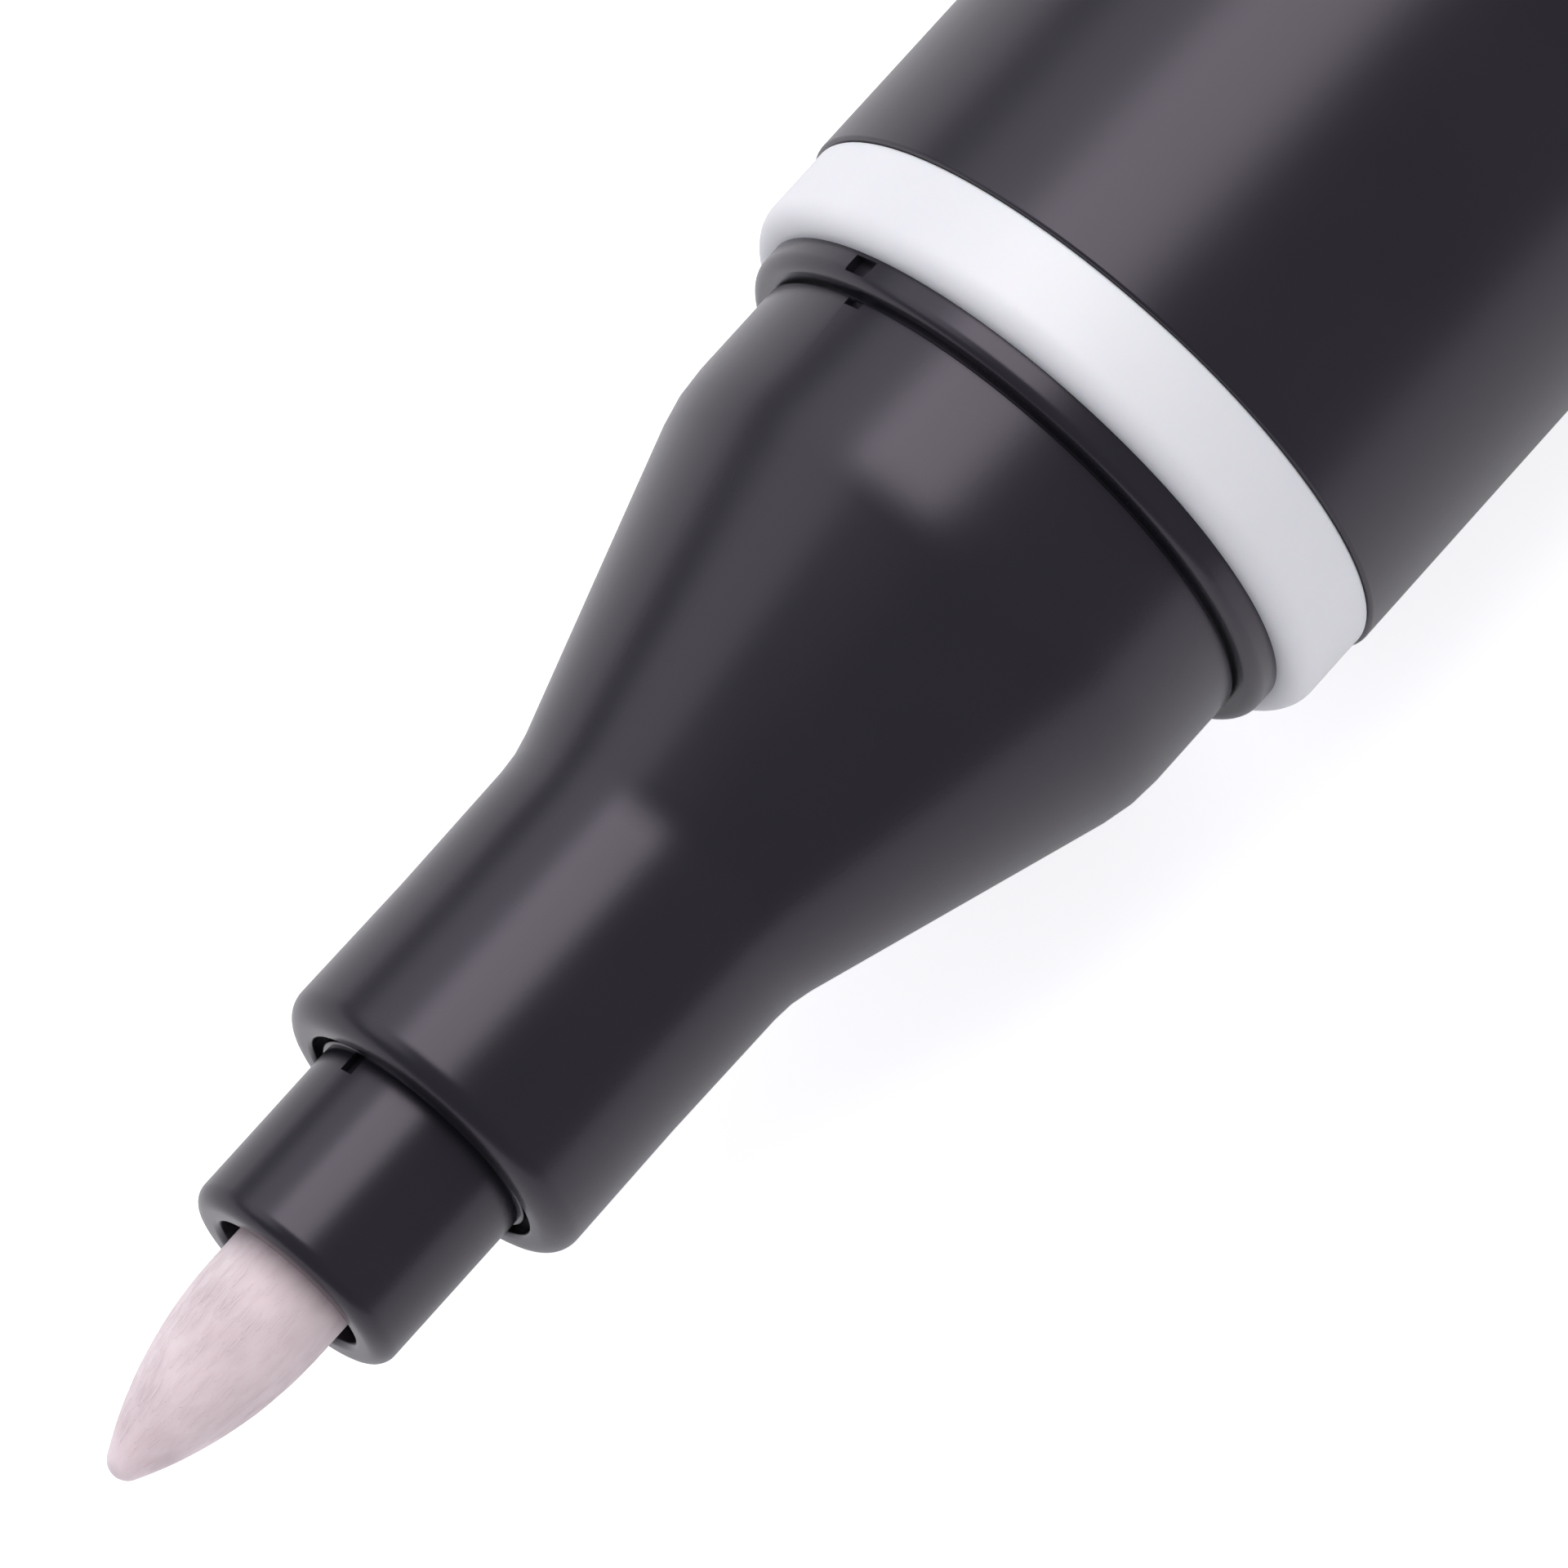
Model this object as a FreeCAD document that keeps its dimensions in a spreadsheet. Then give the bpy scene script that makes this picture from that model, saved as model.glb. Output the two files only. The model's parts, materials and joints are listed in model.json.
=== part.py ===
import FreeCAD, Part

import math
import os
import re

import Sketcher

# Brush pen with its cap posted on the tail. X runs along the pen, with the nib towards -X
# and the front edge of the barrel at X = 0. Z is up and the pen lies level. Every size is
# in millimetres and belongs to one cell of the sheet, except rib_count and the counts of
# vents, which are plain numbers, and vent_angle, which is in degrees.

SIZES = {
    # Barrel, a plain tube with ribs inside that hold the ink reservoir clear of its wall
    "barrel_radius": 6.25,
    "barrel_length": 90.0,
    "barrel_wall": 1.1,
    "rib_count": 6,
    "rib_width": 0.6,
    "rib_root": 0.3,
    "rib_margin": 1.0,
    # White ring between the barrel and the nose section
    "ring_length": 1.81,
    "ring_step": 0.07,
    "ring_chamfer": 0.4,
    # Collar, the bead that a cap clicks over
    "collar_length": 0.57,
    "collar_height": 0.435,
    "collar_chamfer": 0.2,
    "foot_groove_width": 0.12,
    "foot_groove_depth": 0.25,
    # Nose section
    "seat_radius": 5.225,
    "seat_length": 2.47,
    "seat_blend": 3.7,
    "cone_length": 6.58,
    "neck_radius": 3.125,
    "neck_length": 6.06,
    "neck_blend": 2.8,
    "neck_edge_chamfer": 0.35,
    "spigot_length": 9.0,
    "spigot_chamfer": 0.3,
    "funnel_radius": 2.2,
    "shoulder_width": 0.3,
    "passage_length": 0.8,
    "passage_clearance": 0.15,
    "entry_depth": 0.4,
    "entry_clearance": 0.08,
    # Nib holder
    "holder_radius": 2.15,
    "holder_reach": 3.41,
    "holder_depth": 8.0,
    "holder_chamfer": 0.25,
    "mouth_radius": 1.5,
    "mouth_depth": 1.2,
    "vent_width": 0.3,
    "vent_depth": 0.15,
    "vent_reach": 0.12,
    "vent_angle": -35.5,
    # Nib
    "nib_radius": 1.215,
    "nib_reach": 4.37,
    "nib_point_length": 3.85,
    "nib_tip_radius": 0.36,
    "nib_inset": 3.0,
    # Ink reservoir and its film
    "reservoir_radius": 4.1,
    "reservoir_length": 78.0,
    "wrap_thickness": 0.1,
    "wrap_margin": 0.5,
    "reservoir_clearance": 0.05,
    # Plug in the barrel's rear end, with the tail that takes the posted cap
    "plug_depth": 8.0,
    "plug_wall": 1.0,
    "tail_length": 10.0,
    "tail_end_chamfer": 1.2,
    # Cap
    "cap_radius": 6.45,
    "cap_length": 42.0,
    "cap_clearance": 0.05,
    "cap_stop_gap": 0.05,
    "mouth_slack": 0.6,
    "cap_bore_depth": 11.0,
    "cap_shoulder": 0.175,
    "cap_end_chamfer": 0.6,
    # Liner inside the cap, which seals on the neck
    "liner_flange_length": 2.0,
    "liner_length": 16.0,
    "liner_wall": 0.6,
    "seal_length": 4.5,
    "chamber_radius": 3.5,
    "liner_vent_count": 4,
    "liner_vent_width": 1.2,
    "liner_vent_depth": 0.6,
    # Button that closes the cap's end, inside a rim of the cap
    "button_rim": 1.05,
    "button_thickness": 0.8,
    "button_skirt_length": 4.0,
    "button_skirt_wall": 0.8,
    "button_vent_count": 3,
    "button_vent_radius": 0.5,
    "button_vent_offset": 3.0,
    # Clip
    "clip_width": 3.4,
    "clip_thickness": 1.2,
    "clip_gap": 1.25,
    "clip_length": 31.0,
    "clip_setback": 1.8,
    "clip_root_length": 2.4,
    "clip_root_width": 2.4,
    "clip_root_clearance": 0.15,
    "clip_shoulder_round": 1.8,
    "clip_edge_round": 0.3,
    "clip_tip_chamfer": 0.9,
    "foot_setback": 3.6,
    "foot_radius": 1.6,
    "foot_clearance": 0.15,
}

# Places along X, and sizes that follow from the sheet
BORE = "(barrel_radius - barrel_wall)"
WRAP_RADIUS = "(reservoir_radius + wrap_thickness)"
CAVITY_RADIUS = "(reservoir_radius + wrap_thickness + reservoir_clearance)"
COLLAR_RADIUS = "(seat_radius + collar_height)"
COLLAR_FRONT = "(-ring_length - collar_length)"
SEAT_FRONT = f"({COLLAR_FRONT} - seat_length)"
NECK_BACK = f"({SEAT_FRONT} - cone_length)"
NECK_FRONT = f"({NECK_BACK} - neck_length)"
HOLDER_FRONT = f"({NECK_FRONT} - holder_reach)"
HOLDER_BACK = f"({NECK_FRONT} + holder_depth)"
PASSAGE_BACK = f"({HOLDER_BACK} + passage_length)"
PASSAGE_RADIUS = "(nib_radius + passage_clearance)"
NIB_TIP = f"({HOLDER_FRONT} - nib_reach)"
RESERVOIR_FRONT = COLLAR_FRONT
RESERVOIR_BACK = f"({RESERVOIR_FRONT} + reservoir_length)"
PLUG_FRONT = "(barrel_length - plug_depth)"
TAIL_BACK = "(barrel_length + tail_length)"
CAP_MOUTH = "(barrel_length + cap_stop_gap)"
CAP_BACK = f"({CAP_MOUTH} + cap_length)"
CAP_BORE = "(seat_radius + cap_clearance)"
CAP_INNER = f"({CAP_BORE} - cap_shoulder)"
LINER_FRONT = f"({CAP_MOUTH} + cap_bore_depth)"
BUTTON_RADIUS = "(cap_radius - button_rim)"
CLIP_BACK = f"({CAP_BACK} - clip_setback)"
CLIP_UNDERSIDE = "(cap_radius + clip_gap)"
CLIP_TOP = "(cap_radius + clip_gap + clip_thickness)"
CLIP_TIP = f"({CLIP_BACK} - clip_length)"

# The cap is turned about X until the clip's lower edge lies in the same plane as the
# lowest line of the cap, which is how the pen comes to rest on a table.
EDGE_OUT = f"({CLIP_TOP} - clip_edge_round)"
EDGE_SIDE = "(clip_width / 2 - clip_edge_round)"
CAP_TURN = (
    f"180 deg - acos((cap_radius - clip_edge_round) / sqrt({EDGE_OUT} ^ 2 + {EDGE_SIDE} ^ 2))"
    f" - atan({EDGE_SIDE} / {EDGE_OUT})"
)

document = FreeCAD.newDocument("BrushPen")
sheet = document.addObject("Spreadsheet::Sheet", "Sizes")
for row, (alias, size) in enumerate(SIZES.items(), start=1):
    sheet.set(f"A{row}", alias)
    sheet.set(f"B{row}", str(size))
    sheet.setAlias(f"B{row}", alias)
document.recompute()


def bound(text):
    """The text as an expression that names the sheet's cells."""
    return re.sub(r"[a-z]+(_[a-z]+)+", r"Sizes.\g<0>", text)


def number(text):
    """The present value of a text of sizes."""
    result = sheet.evalExpression(bound(text))
    return float(getattr(result, "Value", result))


def arc_between(begin, end, radius):
    """An arc that turns clockwise from begin to end, under a half circle."""
    middle = (begin + end) / 2
    half_chord = (end - begin) / 2
    to_right = FreeCAD.Vector(half_chord.y, -half_chord.x, 0).normalize()
    centre = middle + to_right * math.sqrt(max(radius**2 - half_chord.Length**2, 0))
    start_angle = math.atan2(end.y - centre.y, end.x - centre.x)
    end_angle = math.atan2(begin.y - centre.y, begin.x - centre.x)
    circle = Part.Circle(centre, FreeCAD.Vector(0, 0, 1), radius)
    return Part.ArcOfCircle(circle, start_angle, end_angle)


def tie(sketch, kind, point, text):
    """Hold one coordinate of a point at a distance from the sketch's origin."""
    if text == "0":
        axis = -1 if kind == "DistanceY" else -2
        sketch.addConstraint(Sketcher.Constraint("PointOnObject", *point, axis))
        return
    index = sketch.addConstraint(Sketcher.Constraint(kind, -1, 1, *point, number(text)))
    sketch.setExpression(f"Constraints[{index}]", bound(text))


def new_sketch(body, role, name):
    """An empty sketch on one of the body's own origin planes."""
    sketch = body.newObject("Sketcher::SketchObject", name)
    plane = next(item for item in body.Origin.OriginFeatures if item.Role == role)
    sketch.AttachmentSupport = [(plane, "")]
    sketch.MapMode = "FlatFace"
    return sketch


def draw_outline(sketch, corners):
    """Draw a closed outline through its corners, clockwise.

    A corner is its two coordinates, and a third entry makes the side that leaves it an arc
    of that radius. The arc bulges out of the outline, or into it if the entry starts with
    a minus sign.
    """
    points = [FreeCAD.Vector(number(corner[0]), number(corner[1]), 0) for corner in corners]
    begins = []
    ends = []
    for index, corner in enumerate(corners):
        here = points[index]
        following = points[(index + 1) % len(points)]
        if len(corner) == 2:
            geometry = Part.LineSegment(here, following)
            first_end, last_end = 1, 2
        elif corner[2].startswith("-"):
            geometry = arc_between(following, here, number(corner[2][1:]))
            first_end, last_end = 1, 2
        else:
            geometry = arc_between(here, following, number(corner[2]))
            first_end, last_end = 2, 1
        side = sketch.addGeometry(geometry, False)
        begins.append((side, first_end))
        ends.append((side, last_end))
    for index, corner in enumerate(corners):
        sketch.addConstraint(Sketcher.Constraint("Coincident", *ends[index - 1], *begins[index]))
        tie(sketch, "DistanceX", begins[index], corner[0])
        tie(sketch, "DistanceY", begins[index], corner[1])
        if len(corner) == 3:
            radius = corner[2].removeprefix("-")
            arc = Sketcher.Constraint("Radius", begins[index][0], number(radius))
            sketch.setExpression(f"Constraints[{sketch.addConstraint(arc)}]", bound(radius))


def turned(label, outline):
    """A body turned about X from its half section."""
    body = document.addObject("PartDesign::Body", label)
    sketch = new_sketch(body, "XY_Plane", f"{label}_section")
    draw_outline(sketch, outline)
    turning = body.newObject("PartDesign::Revolution", f"{label}_turning")
    turning.Profile = sketch
    turning.ReferenceAxis = (sketch, ["H_Axis"])
    turning.Angle = 360
    document.recompute()
    return body


def finish_edges(body, kind, size, is_wanted):
    """Round or bevel the edges of the body that the test picks."""
    base = body.Tip
    names = [f"Edge{index}" for index, edge in enumerate(base.Shape.Edges, 1) if is_wanted(edge)]
    if not names:
        raise RuntimeError(f"{body.Label} has no edge to finish by {size}")
    finish = body.newObject(f"PartDesign::{kind}", f"{body.Label}_{size}")
    finish.Base = (base, names)
    finish.setExpression("Radius" if kind == "Fillet" else "Size", bound(size))
    document.recompute()


def round_edges(body, radius, is_wanted):
    """Fillet the edges that the test picks."""
    finish_edges(body, "Fillet", radius, is_wanted)


def bevel_edges(body, size, is_wanted):
    """Chamfer the edges that the test picks."""
    finish_edges(body, "Chamfer", size, is_wanted)


def rim(place, radius):
    """A test for the round edge at one place along X."""
    spot = FreeCAD.Vector(number(place), 0, 0)
    size = number(radius)

    def is_rim(edge):
        if edge.Degenerated or not isinstance(edge.Curve, Part.Circle):
            return False
        centred = edge.Curve.Center.distanceToPoint(spot) < 1e-4
        return centred and abs(edge.Curve.Radius - size) < 1e-4

    return is_rim


def cut_along_x(body, name, start, length, outline, angle="0"):
    """Cut an outline in the plane across the pen, from start towards +X."""
    sketch = new_sketch(body, "YZ_Plane", name)
    sketch.setExpression("AttachmentOffset.Base.z", bound(start))
    if angle != "0":
        sketch.setExpression("AttachmentOffset.Rotation.Angle", bound(angle))
    draw_outline(sketch, outline)
    pocket = body.newObject("PartDesign::Pocket", f"{name}_cut")
    pocket.Profile = sketch
    pocket.Reversed = True
    pocket.setExpression("Length", bound(length))
    document.recompute()
    return pocket


def repeat_about_x(body, feature, count):
    """Repeat a feature round the pen's axis."""
    axis = next(item for item in body.Origin.OriginFeatures if item.Role == "X_Axis")
    pattern = body.newObject("PartDesign::PolarPattern", f"{feature.Name}_pattern")
    pattern.Originals = [feature]
    pattern.Axis = (axis, [""])
    pattern.Angle = 360
    pattern.setExpression("Occurrences", bound(count))
    body.Tip = pattern
    document.recompute()


def rectangle(low_first, high_first, low_second, high_second):
    """The corners of a rectangle, clockwise."""
    return [
        (low_first, low_second),
        (low_first, high_second),
        (high_first, high_second),
        (high_first, low_second),
    ]


def make_barrel():
    """Black tube, its ribs running from the nose section's spigot to the rear plug."""
    body = turned("barrel", [
        ("0", BORE),
        ("0", "barrel_radius"),
        ("barrel_length", "barrel_radius"),
        ("barrel_length", BORE),
    ])
    sketch = new_sketch(body, "YZ_Plane", "rib_section")
    sketch.setExpression("AttachmentOffset.Base.z", bound("spigot_length + rib_margin"))
    draw_outline(sketch, rectangle(
        CAVITY_RADIUS, f"{BORE} + rib_root", "-rib_width / 2", "rib_width / 2"))
    rib = body.newObject("PartDesign::Pad", "rib")
    rib.Profile = sketch
    rib.setExpression("Length", bound(f"{PLUG_FRONT} - spigot_length - 2 * rib_margin"))
    document.recompute()
    repeat_about_x(body, rib, "rib_count")
    return body


def make_colour_ring():
    """White ring, slipped over the spigot and held between the collar and the barrel."""
    radius = "barrel_radius - ring_step"
    body = turned("colour_ring", [
        ("-ring_length", BORE),
        ("-ring_length", radius),
        ("0", radius),
        ("0", BORE),
    ])
    bevel_edges(body, "ring_chamfer", rim("-ring_length", radius))
    return body


def make_nose_section():
    """Neck, cone, cap seat, collar and spigot in one moulding, hollow for the ink."""
    groove_front = f"{COLLAR_FRONT} - foot_groove_width"
    groove_floor = "seat_radius - foot_groove_depth"
    # Each blend is an arc that leaves its corner's two sides this far from the corner.
    slope = "atan((seat_radius - neck_radius) / cone_length)"
    neck_run = f"(neck_blend * tan({slope} / 2))"
    seat_run = f"(seat_blend * tan({slope} / 2))"
    body = turned("nose_section", [
        (NECK_FRONT, "holder_radius + entry_clearance"),
        (NECK_FRONT, "neck_radius"),
        (f"{NECK_BACK} - {neck_run}", "neck_radius", "-neck_blend"),
        (f"{NECK_BACK} + {neck_run} * cos({slope})", f"neck_radius + {neck_run} * sin({slope})"),
        (f"{SEAT_FRONT} - {seat_run} * cos({slope})", f"seat_radius - {seat_run} * sin({slope})",
         "seat_blend"),
        (f"{SEAT_FRONT} + {seat_run}", "seat_radius"),
        (groove_front, "seat_radius"),
        (groove_front, groove_floor),
        (COLLAR_FRONT, groove_floor),
        (COLLAR_FRONT, COLLAR_RADIUS),
        ("-ring_length", COLLAR_RADIUS),
        ("-ring_length", BORE),
        ("spigot_length", BORE),
        ("spigot_length", CAVITY_RADIUS),
        (RESERVOIR_FRONT, CAVITY_RADIUS),
        (RESERVOIR_FRONT, "reservoir_radius - shoulder_width"),
        (PASSAGE_BACK, "funnel_radius"),
        (PASSAGE_BACK, PASSAGE_RADIUS),
        (HOLDER_BACK, PASSAGE_RADIUS),
        (HOLDER_BACK, "holder_radius"),
        (f"{NECK_FRONT} + entry_depth", "holder_radius"),
        (f"{NECK_FRONT} + entry_depth", "holder_radius + entry_clearance"),
    ])
    bevel_edges(body, "neck_edge_chamfer", rim(NECK_FRONT, "neck_radius"))
    bevel_edges(body, "collar_chamfer", rim(COLLAR_FRONT, COLLAR_RADIUS))
    bevel_edges(body, "spigot_chamfer", rim("spigot_length", BORE))
    return body


def make_nib_holder():
    """Small tube pressed into the neck, with a wide mouth and an air vent along one side."""
    body = turned("nib_holder", [
        (HOLDER_FRONT, "mouth_radius"),
        (HOLDER_FRONT, "holder_radius"),
        (HOLDER_BACK, "holder_radius"),
        (HOLDER_BACK, "nib_radius"),
        (f"{HOLDER_FRONT} + mouth_depth", "nib_radius"),
        (f"{HOLDER_FRONT} + mouth_depth", "mouth_radius"),
    ])
    bevel_edges(body, "holder_chamfer", rim(HOLDER_FRONT, "holder_radius"))
    cut_along_x(
        body, "vent", f"{NECK_FRONT} - vent_reach", "holder_depth + vent_reach",
        rectangle("-vent_width / 2", "vent_width / 2",
                  "holder_radius - vent_depth", "holder_radius + vent_depth"),
        angle="vent_angle")
    return body


def make_brush_nib():
    """Fibre rod, ground to an ogive with a small round tip, its stem in the reservoir."""
    tip_centre = f"({NIB_TIP} + nib_tip_radius)"
    rise = "(nib_point_length - nib_tip_radius)"
    ogive_radius = (
        f"(({rise} ^ 2 + nib_radius ^ 2 - nib_tip_radius ^ 2)"
        " / (2 * (nib_radius - nib_tip_radius)))"
    )
    # The two arcs meet on the line through their centres.
    share = f"(nib_tip_radius / ({ogive_radius} - nib_tip_radius))"
    joint_place = f"{tip_centre} - {rise} * {share}"
    joint_radius = f"({ogive_radius} - nib_radius) * {share}"
    body = turned("brush_nib", [
        (NIB_TIP, "0", "nib_tip_radius"),
        (joint_place, joint_radius, ogive_radius),
        (f"{NIB_TIP} + nib_point_length", "nib_radius"),
        (f"{RESERVOIR_FRONT} + nib_inset", "nib_radius"),
        (f"{RESERVOIR_FRONT} + nib_inset", "0"),
    ])
    return body


def make_ink_reservoir():
    """Bundle of fibres that holds the ink, pierced by the nib's stem."""
    return turned("ink_reservoir", [
        (RESERVOIR_FRONT, "nib_radius"),
        (RESERVOIR_FRONT, "reservoir_radius"),
        (RESERVOIR_BACK, "reservoir_radius"),
        (RESERVOIR_BACK, "0"),
        (f"{RESERVOIR_FRONT} + nib_inset", "0"),
        (f"{RESERVOIR_FRONT} + nib_inset", "nib_radius"),
    ])


def make_reservoir_wrap():
    """Film round the fibres, a little shorter than they are."""
    return turned("reservoir_wrap", [
        (f"{RESERVOIR_FRONT} + wrap_margin", "reservoir_radius"),
        (f"{RESERVOIR_FRONT} + wrap_margin", WRAP_RADIUS),
        (f"{RESERVOIR_BACK} - wrap_margin", WRAP_RADIUS),
        (f"{RESERVOIR_BACK} - wrap_margin", "reservoir_radius"),
    ])


def make_barrel_end_plug():
    """Hollow plug with a bead and a seat like the nose section's, for the posted cap."""
    hollow = f"({BORE} - plug_wall)"
    bead_back = "barrel_length + collar_length"
    body = turned("barrel_end_plug", [
        (PLUG_FRONT, hollow),
        (PLUG_FRONT, BORE),
        ("barrel_length", BORE),
        ("barrel_length", COLLAR_RADIUS),
        (bead_back, COLLAR_RADIUS),
        (bead_back, "seat_radius"),
        (TAIL_BACK, "seat_radius"),
        (TAIL_BACK, "0"),
        (f"{TAIL_BACK} - plug_wall", "0"),
        (f"{TAIL_BACK} - plug_wall", hollow),
    ])
    bevel_edges(body, "tail_end_chamfer", rim(TAIL_BACK, "seat_radius"))
    return body


def make_cap_shell():
    """Cap's outer moulding, a little wider than the barrel, with a slot for the clip's root."""
    mouth_bore = f"({COLLAR_RADIUS} + cap_clearance)"
    mouth_back = f"{CAP_MOUTH} + collar_length + mouth_slack"
    flange_back = f"{LINER_FRONT} + liner_flange_length"
    recess_front = f"{CAP_BACK} - button_thickness"
    body = turned("cap_shell", [
        (CAP_MOUTH, mouth_bore),
        (CAP_MOUTH, "cap_radius"),
        (CAP_BACK, "cap_radius"),
        (CAP_BACK, BUTTON_RADIUS),
        (recess_front, BUTTON_RADIUS),
        (recess_front, CAP_INNER),
        (flange_back, CAP_INNER),
        (flange_back, CAP_BORE),
        (mouth_back, CAP_BORE),
        (mouth_back, mouth_bore),
    ])
    bevel_edges(body, "cap_end_chamfer", rim(CAP_BACK, "cap_radius"))
    sketch = new_sketch(body, "XY_Plane", "clip_slot")
    draw_outline(sketch, rectangle(
        f"{CLIP_BACK} - clip_root_length - clip_root_clearance",
        f"{CLIP_BACK} + clip_root_clearance",
        "-clip_root_width / 2 - clip_root_clearance",
        "clip_root_width / 2 + clip_root_clearance"))
    slot = body.newObject("PartDesign::Pocket", "clip_slot_cut")
    slot.Profile = sketch
    slot.Reversed = True
    slot.setExpression("Length", bound("cap_radius + clip_gap"))
    document.recompute()
    return body


def make_cap_inner_seal():
    """Liner: a flange pressed into the cap, a land that fits the neck, and a closed chamber."""
    seal_radius = "(neck_radius + cap_clearance)"
    seal_back = f"{LINER_FRONT} + seal_length"
    flange_back = f"{LINER_FRONT} + liner_flange_length"
    back = f"({LINER_FRONT} + liner_length)"
    outer = "(chamber_radius + liner_wall)"
    body = turned("cap_inner_seal", [
        (LINER_FRONT, seal_radius),
        (LINER_FRONT, CAP_BORE),
        (flange_back, CAP_BORE),
        (flange_back, outer),
        (back, outer),
        (back, "0"),
        (f"{back} - liner_wall", "0"),
        (f"{back} - liner_wall", "chamber_radius"),
        (seal_back, "chamber_radius"),
        (seal_back, seal_radius),
    ])
    notch = cut_along_x(
        body, "liner_vent", LINER_FRONT, "liner_flange_length",
        rectangle(f"{CAP_BORE} - liner_vent_depth", f"{CAP_BORE} + liner_vent_depth",
                  "-liner_vent_width / 2", "liner_vent_width / 2"))
    repeat_about_x(body, notch, "liner_vent_count")
    return body


def make_cap_end_button():
    """Flat button with a skirt pressed into the cap, and vents that let air through the cap."""
    skirt_front = f"{CAP_BACK} - button_thickness - button_skirt_length"
    flange_front = f"{CAP_BACK} - button_thickness"
    skirt_bore = f"({CAP_INNER} - button_skirt_wall)"
    body = turned("cap_end_button", [
        (skirt_front, skirt_bore),
        (skirt_front, CAP_INNER),
        (flange_front, CAP_INNER),
        (flange_front, BUTTON_RADIUS),
        (CAP_BACK, BUTTON_RADIUS),
        (CAP_BACK, "0"),
        (flange_front, "0"),
        (flange_front, skirt_bore),
    ])
    sketch = new_sketch(body, "YZ_Plane", "button_vent")
    sketch.setExpression("AttachmentOffset.Base.z", bound(flange_front))
    centre = FreeCAD.Vector(number("button_vent_offset"), 0, 0)
    circle = Part.Circle(centre, FreeCAD.Vector(0, 0, 1), number("button_vent_radius"))
    sketch.addGeometry(circle, False)
    tie(sketch, "DistanceX", (0, 3), "button_vent_offset")
    tie(sketch, "DistanceY", (0, 3), "0")
    radius = Sketcher.Constraint("Radius", 0, number("button_vent_radius"))
    sketch.setExpression(f"Constraints[{sketch.addConstraint(radius)}]", bound("button_vent_radius"))
    vent = body.newObject("PartDesign::Pocket", "button_vent_cut")
    vent.Profile = sketch
    vent.Reversed = True
    vent.setExpression("Length", bound("button_thickness"))
    document.recompute()
    repeat_about_x(body, vent, "button_vent_count")
    return body


def make_cap_clip():
    """Springy clip: a root in the cap's slot, a flat arm, and a foot near the cap's mouth."""
    body = document.addObject("PartDesign::Body", "cap_clip")
    root_front = f"({CLIP_BACK} - clip_root_length)"
    foot_centre = f"({CLIP_TIP} + foot_setback)"
    # The foot is a round bump: its half width where it leaves the arm's underside
    foot_drop = "(clip_gap - foot_clearance)"
    foot_half = f"sqrt(foot_radius ^ 2 - (foot_radius - {foot_drop}) ^ 2)"
    sketch = new_sketch(body, "XZ_Plane", "clip_side")
    draw_outline(sketch, [
        (CLIP_TIP, CLIP_UNDERSIDE),
        (CLIP_TIP, CLIP_TOP),
        (CLIP_BACK, CLIP_TOP),
        (CLIP_BACK, "cap_radius + clip_root_clearance"),
        (root_front, "cap_radius + clip_root_clearance"),
        (root_front, CLIP_UNDERSIDE),
        (f"{foot_centre} + {foot_half}", CLIP_UNDERSIDE, "foot_radius"),
        (f"{foot_centre} - {foot_half}", CLIP_UNDERSIDE),
    ])
    arm = body.newObject("PartDesign::Pad", "clip_arm")
    arm.Profile = sketch
    arm.Midplane = True
    arm.setExpression("Length", bound("clip_width"))
    document.recompute()
    top = number(CLIP_TOP)
    back = number(CLIP_BACK)
    tip = number(CLIP_TIP)

    def is_shoulder(edge):
        first, last = edge.Vertexes[0].Point, edge.Vertexes[-1].Point
        across = abs(first.x - last.x) < 1e-4 and abs(first.z - last.z) < 1e-4
        return across and abs(first.x - back) < 1e-4 and abs(first.z - top) < 1e-4

    def is_tip_corner(edge):
        first, last = edge.Vertexes[0].Point, edge.Vertexes[-1].Point
        upright = abs(first.x - last.x) < 1e-4 and abs(first.y - last.y) < 1e-4
        return upright and abs(first.x - tip) < 1e-4

    def is_top_edge(edge):
        first, last = edge.Vertexes[0].Point, edge.Vertexes[-1].Point
        level = abs(first.z - top) < 1e-4 and abs(last.z - top) < 1e-4
        return level and abs(first.x - last.x) > 1

    round_edges(body, "clip_shoulder_round", is_shoulder)
    bevel_edges(body, "clip_tip_chamfer", is_tip_corner)
    round_edges(body, "clip_edge_round", is_top_edge)
    root_sketch = new_sketch(body, "XY_Plane", "clip_root_section")
    draw_outline(root_sketch, rectangle(
        root_front, CLIP_BACK, "-clip_root_width / 2", "clip_root_width / 2"))
    root_sketch.setExpression(
        "AttachmentOffset.Base.z", bound(f"{CAP_INNER} + clip_root_clearance"))
    root = body.newObject("PartDesign::Pad", "clip_root")
    root.Profile = root_sketch
    root.setExpression("Length", bound(f"{CLIP_UNDERSIDE} - {CAP_INNER}"))
    document.recompute()
    return body


pen_bodies = [
    make_brush_nib(),
    make_nib_holder(),
    make_nose_section(),
    make_colour_ring(),
    make_barrel(),
    make_ink_reservoir(),
    make_reservoir_wrap(),
    make_barrel_end_plug(),
]
cap_bodies = [
    make_cap_shell(),
    make_cap_inner_seal(),
    make_cap_end_button(),
    make_cap_clip(),
]
for piece in cap_bodies:
    piece.Placement = FreeCAD.Placement(
        FreeCAD.Vector(0, 0, 0), FreeCAD.Rotation(FreeCAD.Vector(1, 0, 0), number(CAP_TURN)))
    piece.setExpression("Placement.Rotation.Angle", bound(CAP_TURN))
document.recompute()

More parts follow.
